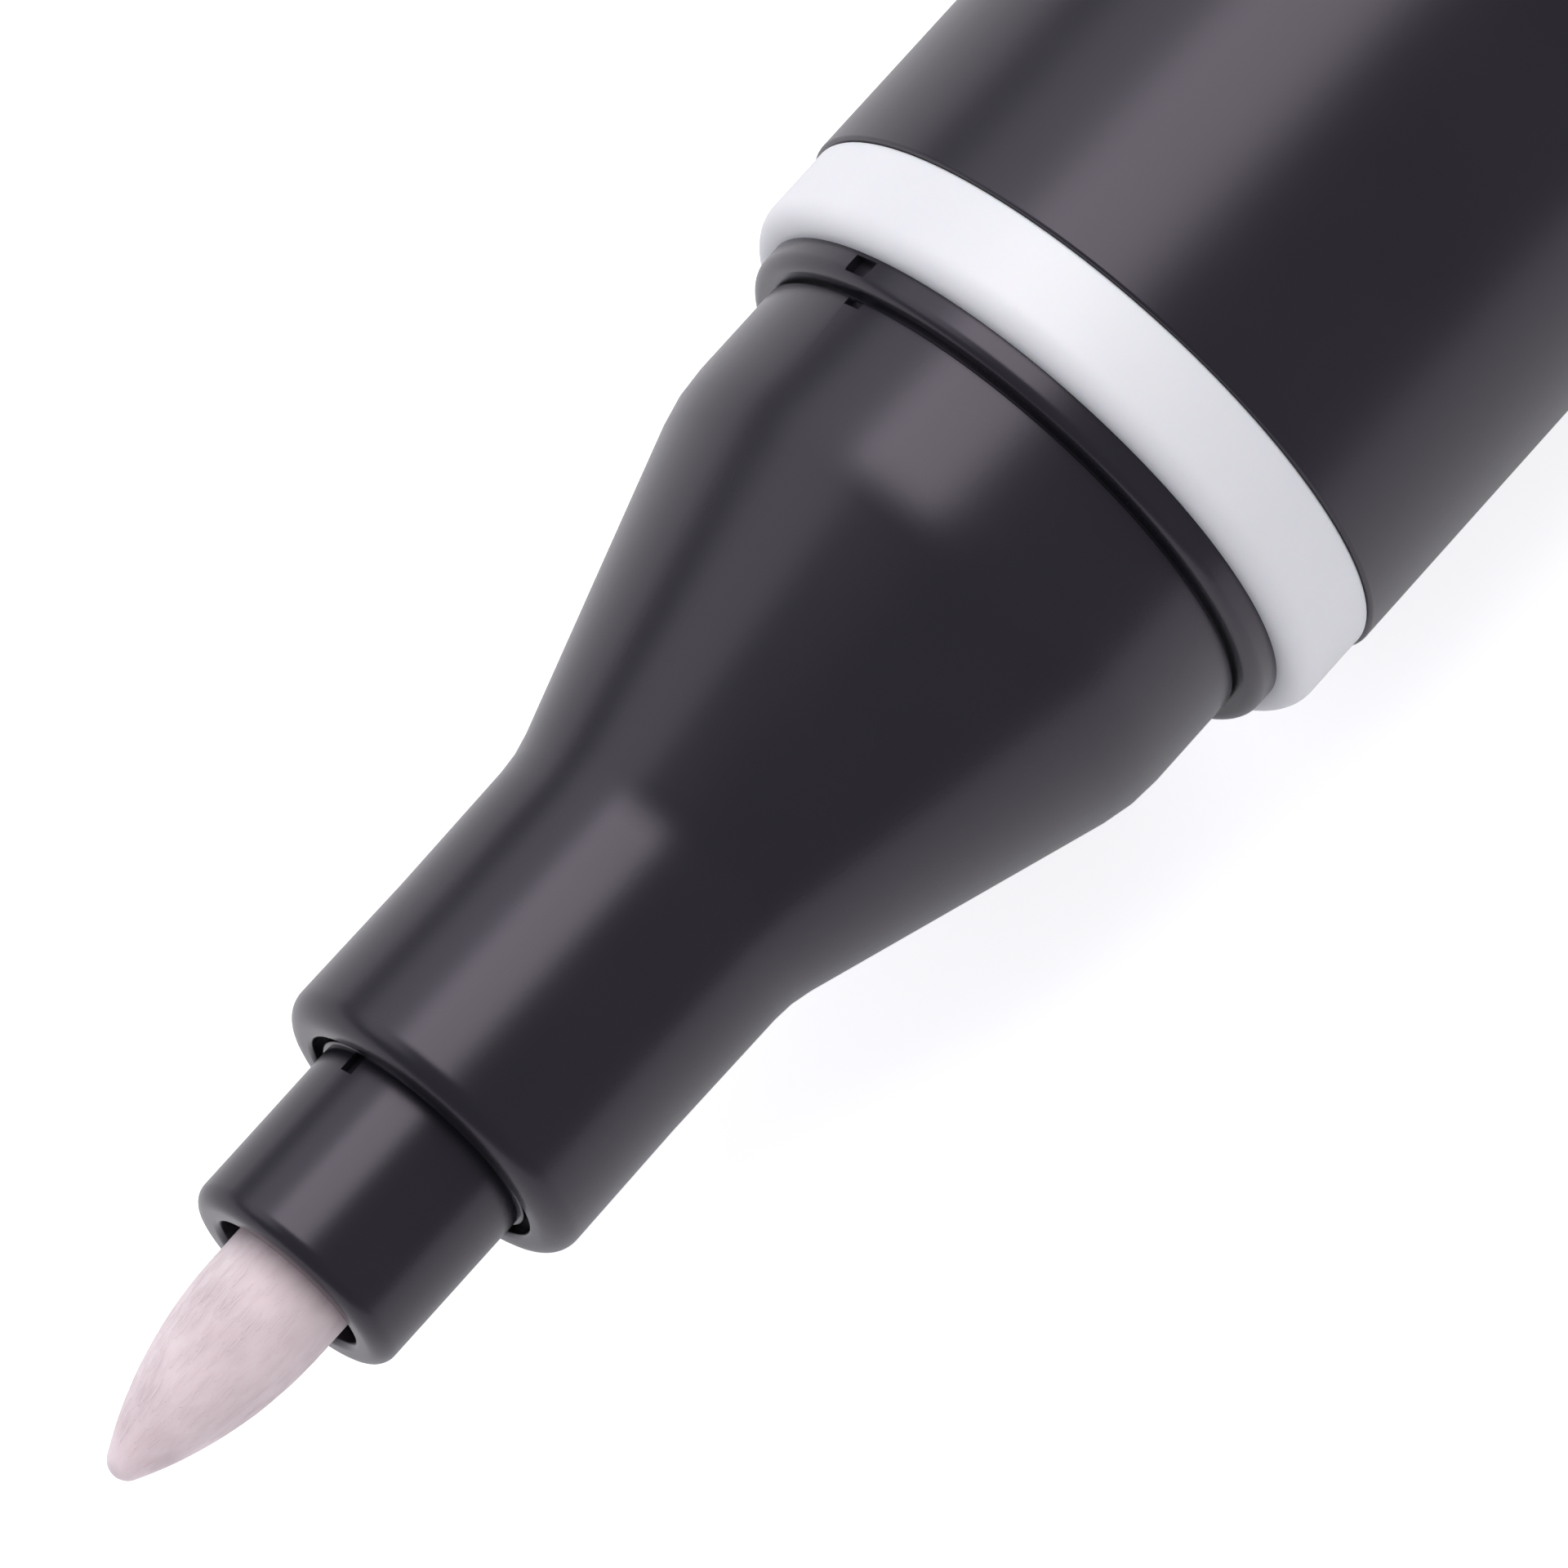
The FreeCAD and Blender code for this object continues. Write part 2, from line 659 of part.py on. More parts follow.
for item in document.Objects:
    if "Invalid" in item.State or "Error" in item.State:
        raise RuntimeError(f"{item.Label} did not build: {item.State}")
for piece in pen_bodies + cap_bodies:
    if piece.Shape.isNull() or not piece.Shape.isValid():
        raise RuntimeError(f"{piece.Label} has no sound shape")
    if len(piece.Shape.Solids) != 1:
        raise RuntimeError(f"{piece.Label} is not one solid")

os.makedirs("parts", exist_ok=True)
for piece in pen_bodies + cap_bodies:
    piece.Shape.exportStep(f"parts/{piece.Label}.step")
    print(f"{piece.Label}: {piece.Shape.Volume:.2f} cubic millimetres")
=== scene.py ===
import json
import math

import bmesh
import bpy
from mathutils import Matrix, Vector


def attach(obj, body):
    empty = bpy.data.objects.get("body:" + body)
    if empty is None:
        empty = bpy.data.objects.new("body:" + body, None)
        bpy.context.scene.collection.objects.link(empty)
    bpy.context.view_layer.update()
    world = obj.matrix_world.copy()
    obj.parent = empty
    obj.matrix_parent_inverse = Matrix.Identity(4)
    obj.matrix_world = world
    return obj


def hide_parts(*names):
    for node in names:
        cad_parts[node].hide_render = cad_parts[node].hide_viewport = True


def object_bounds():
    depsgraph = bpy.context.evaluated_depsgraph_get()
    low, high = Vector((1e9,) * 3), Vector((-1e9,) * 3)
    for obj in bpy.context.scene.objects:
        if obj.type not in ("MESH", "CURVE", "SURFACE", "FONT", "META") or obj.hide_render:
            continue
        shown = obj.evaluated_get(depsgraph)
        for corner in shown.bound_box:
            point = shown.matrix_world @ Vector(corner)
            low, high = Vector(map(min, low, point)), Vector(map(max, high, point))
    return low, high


# Brush pen with its cap posted on the tail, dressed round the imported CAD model. The sections
# follow the pen as it is put together, from the nib to the clip. The pen's sizes are in
# millimetres and become metres where a mesh is made. Camera and studio are in metres.

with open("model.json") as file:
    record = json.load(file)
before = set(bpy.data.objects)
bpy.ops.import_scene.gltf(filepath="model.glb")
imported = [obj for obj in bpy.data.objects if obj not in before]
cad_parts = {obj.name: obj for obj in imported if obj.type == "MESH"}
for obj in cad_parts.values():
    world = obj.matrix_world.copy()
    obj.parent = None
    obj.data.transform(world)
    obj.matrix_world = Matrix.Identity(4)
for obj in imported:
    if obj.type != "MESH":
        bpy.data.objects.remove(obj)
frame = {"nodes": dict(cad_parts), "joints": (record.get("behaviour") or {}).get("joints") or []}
cad_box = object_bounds()

# Camera: looks down on the nose from beyond the nib, through a long lens, as the photograph
# does. The pen then runs from the lower left corner out through the upper right one.
CAMERA_AIM = Vector((-0.008729, -0.000576, 0.0))
CAMERA_AZIMUTH = math.radians(-49.43)
CAMERA_ELEVATION = math.radians(71.36)
CAMERA_DISTANCE = 0.2767
CAMERA_LENS_MM = 375.0

camera_data = bpy.data.cameras.new("camera")
camera_data.lens = CAMERA_LENS_MM
camera = bpy.data.objects.new("camera", camera_data)
bpy.context.scene.collection.objects.link(camera)
bpy.context.scene.camera = camera
towards_camera = Vector((
    math.sin(CAMERA_AZIMUTH) * math.cos(CAMERA_ELEVATION),
    -math.cos(CAMERA_AZIMUTH) * math.cos(CAMERA_ELEVATION),
    math.sin(CAMERA_ELEVATION),
))
camera.location = CAMERA_AIM + towards_camera * CAMERA_DISTANCE
camera.rotation_mode = "QUATERNION"
camera.rotation_quaternion = (-towards_camera).to_track_quat("-Z", "Y")

# Brush nib: a rod of polyester fibres bonded with resin and ground to a soft point. It is
# pressed through the holder, and its stem reaches into the ink reservoir behind.
MM = 0.001
TURN_STEPS = 144
ROUND_STEP = math.radians(9)
SHARP_ANGLE = math.radians(30)
NIB_POINT_LENGTH = 3.85
NIB_TIP_RADIUS = 0.36
FIBRE_LENGTH = 0.5
FIBRE_WIDTH = 0.024
FIBRE_RISE = 0.002
FIBRES_PER_SQUARE_MM = 30.0
FIBRE_FREE_TIP = 0.35
NIB_WHITE = "#eadce0"
NIB_SHADE = "#dfcfd4"
NIB_SCATTER = (1.0, 0.85, 0.9)
TIP_STEPS = 10
OGIVE_STEPS = 24
FIBRE_SEED = 5
STREAK_WIDTH = 0.06
STREAK_LENGTH = 0.5
STREAK_DEPTH = 0.01
STREAK_SHARE = 0.5
FELT_CLOUD_SIZE = 1.1
FELT_PALEST = 0.45
FELT_DARKEST = 1.05
FELT_SCATTERING = 0.8
FELT_LIGHT_DEPTH = 0.6


def linear(colour):
    """An sRGB hex colour as the linear values that shaders take."""
    channels = [int(colour[start:start + 2], 16) / 255 for start in (1, 3, 5)]
    bent = [c / 12.92 if c <= 0.04045 else ((c + 0.055) / 1.055) ** 2.4 for c in channels]
    return (*bent, 1.0)


def add_node(tree, kind, settings=(), links=()):
    """Add a node to a tree, with its settings or input values, and its links."""
    node = tree.nodes.new(kind)
    for name, value in dict(settings).items():
        if hasattr(node, name):
            setattr(node, name, value)
        else:
            node.inputs[name].default_value = value
    for name, source in dict(links).items():
        tree.links.new(source, node.inputs[name])
    return node


def new_material(name):
    """An empty material, its shader tree and that tree's object coordinates."""
    material = bpy.data.materials.new(name)
    material.use_nodes = True
    material.node_tree.nodes.clear()
    coordinates = add_node(material.node_tree, "ShaderNodeTexCoord")
    return material, material.node_tree, coordinates.outputs["Object"]


def new_piece(name, mesh):
    """An object for a mesh, linked to the scene at the origin."""
    piece = bpy.data.objects.new(name, mesh)
    bpy.context.scene.collection.objects.link(piece)
    return piece


def span(node):
    """Front and back of a CAD node along the pen, and its greatest radius."""
    points = [vertex.co for vertex in frame["nodes"][node].data.vertices]
    places = [point.x for point in points]
    radius = max(math.hypot(point.y, point.z) for point in points)
    return min(places) / MM, max(places) / MM, radius / MM


def with_rounds(outline):
    """The points of a closed outline, each corner rounded by its third entry, if it has one."""
    points = []
    for index, corner in enumerate(outline):
        place = Vector(corner[:2])
        if len(corner) == 2:
            points.append(place)
            continue
        to_last = (Vector(outline[index - 1][:2]) - place).normalized()
        to_next = (Vector(outline[(index + 1) % len(outline)][:2]) - place).normalized()
        turn = math.pi - to_last.angle(to_next)
        centre = place + (to_last + to_next).normalized() * corner[2] / math.cos(turn / 2)
        run = corner[2] * math.tan(turn / 2)
        first_arm = place + to_last * run - centre
        last_arm = place + to_next * run - centre
        steps = max(2, round(turn / ROUND_STEP))
        for step in range(steps + 1):
            points.append(centre + first_arm.slerp(last_arm, step / steps) * corner[2])
    return points


def turned(name, points):
    """A closed piece turned about the pen's axis from points of place and radius."""
    shape = bmesh.new()
    rings = []
    for place, radius in points:
        if radius == 0:
            rings.append([shape.verts.new((place * MM, 0, 0))])
            continue
        angles = [math.tau * step / TURN_STEPS for step in range(TURN_STEPS)]
        rings.append([
            shape.verts.new((place * MM, radius * MM * math.cos(a), radius * MM * math.sin(a)))
            for a in angles
        ])
    for ring, following in zip(rings, rings[1:] + rings[:1]):
        for step in range(TURN_STEPS):
            corners = [
                ring[step % len(ring)], ring[(step + 1) % len(ring)],
                following[(step + 1) % len(following)], following[step % len(following)],
            ]
            corners = list(dict.fromkeys(corners))
            if len(corners) > 2:
                shape.faces.new(corners)
    bmesh.ops.recalc_face_normals(shape, faces=shape.faces)
    mesh = bpy.data.meshes.new(name)
    shape.to_mesh(mesh)
    shape.free()
    return new_piece(name, mesh)


def finish_surface(piece, material):
    """Give a piece its material, smooth its faces and keep its edges crisp."""
    piece.data.materials.clear()
    piece.data.materials.append(material)
    piece.data.shade_smooth()
    piece.data.set_sharp_from_angle(angle=SHARP_ANGLE)
    weighting = piece.modifiers.new("weighted_normals", "WEIGHTED_NORMAL")
    weighting.keep_sharp = True


def new_geometry_tree(name, inputs):
    """A geometry tree with its input node, and the identifiers of its named inputs."""
    tree = bpy.data.node_groups.new(name, "GeometryNodeTree")
    tree.interface.new_socket("Geometry", in_out="OUTPUT", socket_type="NodeSocketGeometry")
    tree.interface.new_socket("Geometry", in_out="INPUT", socket_type="NodeSocketGeometry")
    identifiers = {}
    for label, kind in inputs.items():
        socket = tree.interface.new_socket(label, in_out="INPUT", socket_type=f"NodeSocket{kind}")
        identifiers[label] = socket.identifier
    return tree, tree.nodes.new("NodeGroupInput"), identifiers


def made_by_tree(piece, tree, identifiers, values):
    """The plain mesh that a geometry tree makes from a piece and these input values."""
    modifier = piece.modifiers.new(tree.name, "NODES")
    modifier.node_group = tree
    for label, value in values.items():
        modifier[identifiers[label]] = value
    graph = bpy.context.evaluated_depsgraph_get()
    mesh = bpy.data.meshes.new_from_object(piece.evaluated_get(graph))
    piece.modifiers.remove(modifier)
    return mesh


def nib_outline():
    """Points of the nib: a round tip that runs into an ogive, then the straight stem."""
    front, back, radius = span("brush_nib")
    tip_centre = front + NIB_TIP_RADIUS
    rise = NIB_POINT_LENGTH - NIB_TIP_RADIUS
    ogive = (rise**2 + radius**2 - NIB_TIP_RADIUS**2) / (2 * (radius - NIB_TIP_RADIUS))
    lean = math.asin(rise / (ogive - NIB_TIP_RADIUS))
    tip_end = math.pi / 2 - lean
    tip_angles = [step / TIP_STEPS * tip_end for step in range(TIP_STEPS + 1)]
    side_angles = [tip_end + step / OGIVE_STEPS * lean for step in range(1, OGIVE_STEPS + 1)]
    tip = [
        (tip_centre - NIB_TIP_RADIUS * math.cos(a), NIB_TIP_RADIUS * math.sin(a))
        for a in tip_angles
    ]
    side = [
        (front + NIB_POINT_LENGTH - ogive * math.cos(a), radius - ogive + ogive * math.sin(a))
        for a in side_angles
    ]
    return [*tip, *side, (back, radius), (back, 0)]


def felt_material(name, scattering):
    """Ground polyester felt: matte, off white with a pink cast, its fibres along the pen.

    The fibres of the real felt are about 0.02 mm thick and too fine for the picture, so
    the streaks are drawn three times as wide. A share of the light scatters inside.
    """
    material, tree, place = new_material(name)
    along = add_node(
        tree, "ShaderNodeMapping", {"Scale": (STREAK_WIDTH / STREAK_LENGTH, 1.0, 1.0)},
        {"Vector": place})
    streaks = add_node(
        tree, "ShaderNodeTexNoise",
        {"Scale": 1 / (STREAK_WIDTH * MM), "Detail": 3.0, "Roughness": 0.6},
        {"Vector": along.outputs["Vector"]})
    clouds = add_node(
        tree, "ShaderNodeTexNoise", {"Scale": 1 / (FELT_CLOUD_SIZE * MM), "Detail": 2.0},
        {"Vector": place})
    blend = add_node(
        tree, "ShaderNodeMath", {"operation": "MULTIPLY_ADD"},
        {0: streaks.outputs["Fac"], 2: clouds.outputs["Fac"]})
    blend.inputs[1].default_value = STREAK_SHARE
    shades = add_node(
        tree, "ShaderNodeMapRange", {"From Min": FELT_PALEST, "From Max": FELT_DARKEST},
        {"Value": blend.outputs["Value"]})
    colour = add_node(
        tree, "ShaderNodeMix", {"data_type": "RGBA"}, {"Factor": shades.outputs["Result"]})
    colour.inputs["A"].default_value = linear(NIB_WHITE)
    colour.inputs["B"].default_value = linear(NIB_SHADE)
    relief = add_node(
        tree, "ShaderNodeBump", {"Strength": 0.25, "Distance": STREAK_DEPTH * MM},
        {"Height": streaks.outputs["Fac"]})
    shader = add_node(
        tree, "ShaderNodeBsdfPrincipled",
        {"Roughness": 0.95, "IOR": 1.5, "Subsurface Weight": scattering,
         "Subsurface Scale": FELT_LIGHT_DEPTH * MM, "Subsurface Radius": NIB_SCATTER,
         "Sheen Weight": 0.2, "Sheen Roughness": 0.6},
        {"Base Color": colour.outputs["Result"], "Normal": relief.outputs["Normal"]})
    add_node(
        tree, "ShaderNodeOutputMaterial", (), {"Surface": shader.outputs["BSDF"]})
    return material


def fibre_tree():
    """A geometry tree that lays short fibres on a surface, along the pen's axis."""
    tree, given, identifiers = new_geometry_tree("surface_fibres", {
        "Fibres per Area": "Float", "Front": "Float", "Back": "Float",
        "Smallest": "Vector", "Largest": "Vector", "Seed": "Int", "Material": "Material"})
    place = add_node(tree, "GeometryNodeInputPosition")
    along = add_node(
        tree, "ShaderNodeSeparateXYZ", (), {"Vector": place.outputs["Position"]})
    behind_tip = add_node(
        tree, "FunctionNodeCompare", {"operation": "GREATER_THAN"},
        {"A": along.outputs["X"], "B": given.outputs["Front"]})
    before_mouth = add_node(
        tree, "FunctionNodeCompare", {"operation": "LESS_THAN"},
        {"A": along.outputs["X"], "B": given.outputs["Back"]})
    on_point = add_node(
        tree, "FunctionNodeBooleanMath", {"operation": "AND"},
        {0: behind_tip.outputs["Result"], 1: before_mouth.outputs["Result"]})
    scatter = add_node(
        tree, "GeometryNodeDistributePointsOnFaces", (),
        {"Mesh": given.outputs["Geometry"], "Selection": on_point.outputs["Boolean"],
         "Density": given.outputs["Fibres per Area"], "Seed": given.outputs["Seed"]})
    upright = add_node(
        tree, "FunctionNodeAlignRotationToVector", {"axis": "Z"},
        {"Vector": scatter.outputs["Normal"]})
    lengthwise = add_node(
        tree, "FunctionNodeAlignRotationToVector",
        {"axis": "X", "pivot_axis": "Z", "Vector": (1.0, 0.0, 0.0)},
        {"Rotation": upright.outputs["Rotation"]})
    size = add_node(
        tree, "FunctionNodeRandomValue", {"data_type": "FLOAT_VECTOR"},
        {"Min": given.outputs["Smallest"], "Max": given.outputs["Largest"],
         "Seed": given.outputs["Seed"]})
    fibre = add_node(tree, "GeometryNodeMeshIcoSphere", {"Radius": 1.0, "Subdivisions": 2})
    laid = add_node(
        tree, "GeometryNodeInstanceOnPoints", (),
        {"Points": scatter.outputs["Points"], "Instance": fibre.outputs["Mesh"],
         "Rotation": lengthwise.outputs["Rotation"], "Scale": size.outputs["Value"]})
    real = add_node(
        tree, "GeometryNodeRealizeInstances", (), {"Geometry": laid.outputs["Instances"]})
    smooth = add_node(
        tree, "GeometryNodeSetShadeSmooth", (), {"Geometry": real.outputs["Geometry"]})
    dressed = add_node(
        tree, "GeometryNodeSetMaterial", (),
        {"Geometry": smooth.outputs["Geometry"], "Material": given.outputs["Material"]})
    add_node(tree, "NodeGroupOutput", (), {"Geometry": dressed.outputs["Geometry"]})
    return tree, identifiers


felt = felt_material("ground_polyester_felt", FELT_SCATTERING)
loose_felt = felt_material("loose_polyester_fibre", 0.0)
nib = turned("nib_felt", nib_outline())
nib_front = span("brush_nib")[0]
holder_front, holder_back, holder_radius = span("nib_holder")
fibres_tree, fibre_inputs = fibre_tree()
fibres = new_piece("nib_fibres", made_by_tree(nib, fibres_tree, fibre_inputs, {
    "Fibres per Area": FIBRES_PER_SQUARE_MM / MM**2,
    "Front": (nib_front + FIBRE_FREE_TIP) * MM,
    "Back": holder_front * MM,
    "Smallest": (FIBRE_LENGTH / 4 * MM, FIBRE_WIDTH / 4 * MM, FIBRE_RISE / 2 * MM),
    "Largest": (FIBRE_LENGTH / 2 * MM, FIBRE_WIDTH / 2 * MM, FIBRE_RISE * MM),
    "Seed": FIBRE_SEED,
    "Material": loose_felt,
}))
finish_surface(nib, felt)
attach(nib, "pen")
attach(fibres, "pen")
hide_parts("brush_nib")

# Nib holder: a small tube of black polypropylene, moulded and pressed into the neck. Its
# mouth is wider than the nib, and a groove along one side lets air back into the pen.
HOLDER_ROUND = 0.35
HOLDER_MOUTH_ROUND = 0.12
MOUTH_RADIUS = 1.5
MOUTH_DEPTH = 1.2
VENT_WIDTH = 0.3
VENT_DEPTH = 0.15
VENT_REACH = 0.3
VENT_ANGLE = math.radians(-38)
BLACK = "#1b1a1f"
BLACK_PALER = "#232127"
BLACK_SHEEN = "#f5edff"
BLACK_CLOUD_SIZE = 4.0
GLOSS_SPREAD = 0.03
GRAIN_DEPTH = 0.01
MOULDED_ROUGHNESS = 0.27
MOULDED_GRAIN = 0.12


def black_plastic(name, roughness, grain):
    """Black polypropylene: a deep black whose satin gloss varies a little over a fine grain."""
    material, tree, place = new_material(name)
    clouds = add_node(
        tree, "ShaderNodeTexNoise", {"Scale": 1 / (BLACK_CLOUD_SIZE * MM), "Detail": 3.0},
        {"Vector": place})
    colour = add_node(
        tree, "ShaderNodeMix", {"data_type": "RGBA"}, {"Factor": clouds.outputs["Fac"]})
    colour.inputs["A"].default_value = linear(BLACK)
    colour.inputs["B"].default_value = linear(BLACK_PALER)
    gloss = add_node(
        tree, "ShaderNodeMapRange",
        {"To Min": roughness - GLOSS_SPREAD, "To Max": roughness + GLOSS_SPREAD},
        {"Value": clouds.outputs["Fac"]})
    grains = add_node(
        tree, "ShaderNodeTexNoise", {"Scale": 1 / (grain * MM), "Detail": 2.0},
        {"Vector": place})
    relief = add_node(
        tree, "ShaderNodeBump", {"Strength": 0.08, "Distance": GRAIN_DEPTH * MM},
        {"Height": grains.outputs["Fac"]})
    shader = add_node(
        tree, "ShaderNodeBsdfPrincipled", {"IOR": 1.5, "Specular Tint": linear(BLACK_SHEEN)},
        {"Base Color": colour.outputs["Result"], "Roughness": gloss.outputs["Result"],
         "Normal": relief.outputs["Normal"]})
    add_node(tree, "ShaderNodeOutputMaterial", (), {"Surface": shader.outputs["BSDF"]})
    return material


def box_shape(low, high, turn=0.0):
    """A box between two corners in millimetres, which is then turned about X."""
    shape = bmesh.new()
    bmesh.ops.create_cube(shape, size=1.0)
    centre = (Vector(low) + Vector(high)) / 2 * MM
    size = (Vector(high) - Vector(low)) * MM
    placing = Matrix.Rotation(turn, 4, "X") @ Matrix.LocRotScale(centre, None, size)
    bmesh.ops.transform(shape, matrix=placing, verts=shape.verts)
    return shape


def apply_modifiers(piece):
    """Make what a piece's modifiers show its plain mesh."""
    graph = bpy.context.evaluated_depsgraph_get()
    piece.data = bpy.data.meshes.new_from_object(piece.evaluated_get(graph))
    piece.modifiers.clear()


def cut_out(piece, low, high, turn=0.0):
    """Cut a box out of a piece. Its corners are in millimetres, before its turn about X."""
    shape = box_shape(low, high, turn)
    mesh = bpy.data.meshes.new("cutter")
    shape.to_mesh(mesh)
    shape.free()
    cutter = new_piece("cutter", mesh)
    cutting = piece.modifiers.new("cut", "BOOLEAN")
    cutting.object = cutter
    cutting.solver = "EXACT"
    apply_modifiers(piece)
    bpy.data.objects.remove(cutter)


moulded_black = black_plastic("moulded_polypropylene", MOULDED_ROUGHNESS, MOULDED_GRAIN)
neck_front = span("nose_section")[0]
nib_radius = span("brush_nib")[2]
holder = turned("holder_tube", with_rounds([
    (holder_front, MOUTH_RADIUS, HOLDER_MOUTH_ROUND),
    (holder_front, holder_radius, HOLDER_ROUND),
    (holder_back, holder_radius),
    (holder_back, nib_radius),
    (holder_front + MOUTH_DEPTH, nib_radius),
    (holder_front + MOUTH_DEPTH, MOUTH_RADIUS),
]))
cut_out(
    holder,
    (neck_front - VENT_REACH, -VENT_WIDTH / 2, holder_radius - VENT_DEPTH),
    (holder_back + VENT_DEPTH, VENT_WIDTH / 2, holder_radius + VENT_DEPTH),
    VENT_ANGLE)
finish_surface(holder, moulded_black)
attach(holder, "pen")
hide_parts("nib_holder")

# Nose section: neck, cone, cap seat and collar in one moulding of black polypropylene, with
# a spigot behind that is pressed into the barrel and a funnel inside that feeds the nib.
NECK_RADIUS = 3.125
NECK_LENGTH = 6.06
NECK_WAIST = 0.03
NECK_EDGE_ROUND = 0.5
NECK_BLEND = 2.8
SEAT_RADIUS = 5.225
SEAT_LENGTH = 2.47
SEAT_BLEND = 3.7
COLLAR_RADIUS = 5.66
COLLAR_LENGTH = 0.57
COLLAR_ROUND = 0.26
FOOT_GROOVE_WIDTH = 0.07
FOOT_GROOVE_DEPTH = 0.12
ENTRY_DEPTH = 0.4
ENTRY_RADIUS = 2.42
ENTRY_ROUND = 0.08
ENTRY_LIP_WIDTH = 0.09
ENTRY_LIP_HEIGHT = 0.32
NOTCH_LENGTH = 0.34
NOTCH_WIDTH = 0.55
NOTCH_DEPTH = 0.2
NOTCH_SETBACK = 0.16
NOTCH_ANGLE = math.radians(-37.5)
NICK_WIDTH = 0.4
NICK_DEPTH = 0.16
FUNNEL_RADIUS = 2.2
PASSAGE_LENGTH = 0.8
PASSAGE_RADIUS = 1.365
SHOULDER_RADIUS = 3.8
CAVITY_RADIUS = 4.25
SPIGOT_ROUND = 0.3

ring_front, ring_back, ring_radius = span("colour_ring")
nose_front, spigot_back, _ = span("nose_section")
ring_points = [vertex.co for vertex in frame["nodes"]["colour_ring"].data.vertices]
bore = min(math.hypot(point.y, point.z) for point in ring_points) / MM
collar_front = ring_front - COLLAR_LENGTH
groove_front = collar_front - FOOT_GROOVE_WIDTH
seat_front = collar_front - SEAT_LENGTH
neck_back = nose_front + NECK_LENGTH
lip_front = nose_front + ENTRY_DEPTH - ENTRY_LIP_HEIGHT
passage_back = holder_back + PASSAGE_LENGTH
nose = turned("nose_moulding", with_rounds([
    (nose_front, ENTRY_RADIUS, ENTRY_ROUND),
    (nose_front, NECK_RADIUS, NECK_EDGE_ROUND),
    (nose_front + NECK_LENGTH / 2, NECK_RADIUS - NECK_WAIST, NECK_LENGTH),
    (neck_back, NECK_RADIUS, NECK_BLEND),
    (seat_front, SEAT_RADIUS, SEAT_BLEND),
    (groove_front, SEAT_RADIUS, FOOT_GROOVE_WIDTH / 3),
    (groove_front, SEAT_RADIUS - FOOT_GROOVE_DEPTH),
    (collar_front, SEAT_RADIUS - FOOT_GROOVE_DEPTH),
    (collar_front, COLLAR_RADIUS, COLLAR_ROUND),
    (ring_front, COLLAR_RADIUS),
    (ring_front, bore),
    (spigot_back, bore, SPIGOT_ROUND),
    (spigot_back, CAVITY_RADIUS),
    (collar_front, CAVITY_RADIUS),
    (collar_front, SHOULDER_RADIUS),
    (passage_back, FUNNEL_RADIUS),
    (passage_back, PASSAGE_RADIUS),
    (holder_back, PASSAGE_RADIUS),
    (holder_back, holder_radius),
    (lip_front, holder_radius),
    (lip_front, holder_radius + ENTRY_LIP_WIDTH, ENTRY_LIP_WIDTH / 2),
    (nose_front + ENTRY_DEPTH, holder_radius + ENTRY_LIP_WIDTH),
    (nose_front + ENTRY_DEPTH, ENTRY_RADIUS),
]))
cut_out(
    nose,
    (collar_front + NOTCH_SETBACK, -NOTCH_WIDTH / 2, COLLAR_RADIUS - NOTCH_DEPTH),
    (collar_front + NOTCH_SETBACK + NOTCH_LENGTH, NOTCH_WIDTH / 2, COLLAR_RADIUS + NOTCH_DEPTH),
    NOTCH_ANGLE)
cut_out(
    nose,
    (groove_front - NICK_DEPTH, -NICK_WIDTH / 2, SEAT_RADIUS - NICK_DEPTH),
    (collar_front - FOOT_GROOVE_WIDTH / 2, NICK_WIDTH / 2, SEAT_RADIUS + NICK_DEPTH),
    NOTCH_ANGLE)
finish_surface(nose, moulded_black)
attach(nose, "pen")
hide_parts("nose_section")

# White ring: a moulded band of white ABS, slipped over the spigot and held between the
# collar and the barrel. Its front edge is well rounded.
RING_FRONT_ROUND = 0.5
RING_BACK_ROUND = 0.08
RING_WHITE = "#e9ebef"
RING_SHADE = "#e2e4e9"
WHITE_CLOUD_SIZE = 2.5
WHITE_GRAIN = 0.15
WHITE_LIGHT_DEPTH = 0.4


def white_abs():
    """White ABS: bright and faintly blue, with a soft satin gloss and light just under it."""
    material, tree, place = new_material("moulded_white_abs")
    clouds = add_node(
        tree, "ShaderNodeTexNoise", {"Scale": 1 / (WHITE_CLOUD_SIZE * MM), "Detail": 3.0},
        {"Vector": place})
    colour = add_node(
        tree, "ShaderNodeMix", {"data_type": "RGBA"}, {"Factor": clouds.outputs["Fac"]})
    colour.inputs["A"].default_value = linear(RING_WHITE)
    colour.inputs["B"].default_value = linear(RING_SHADE)
    grains = add_node(
        tree, "ShaderNodeTexNoise", {"Scale": 1 / (WHITE_GRAIN * MM), "Detail": 2.0},
        {"Vector": place})
    relief = add_node(
        tree, "ShaderNodeBump", {"Strength": 0.1, "Distance": GRAIN_DEPTH * MM},
        {"Height": grains.outputs["Fac"]})
    shader = add_node(
        tree, "ShaderNodeBsdfPrincipled",
        {"IOR": 1.54, "Roughness": 0.42, "Subsurface Weight": 0.15,
         "Subsurface Scale": WHITE_LIGHT_DEPTH * MM},
        {"Base Color": colour.outputs["Result"], "Normal": relief.outputs["Normal"]})
    add_node(tree, "ShaderNodeOutputMaterial", (), {"Surface": shader.outputs["BSDF"]})
    return material


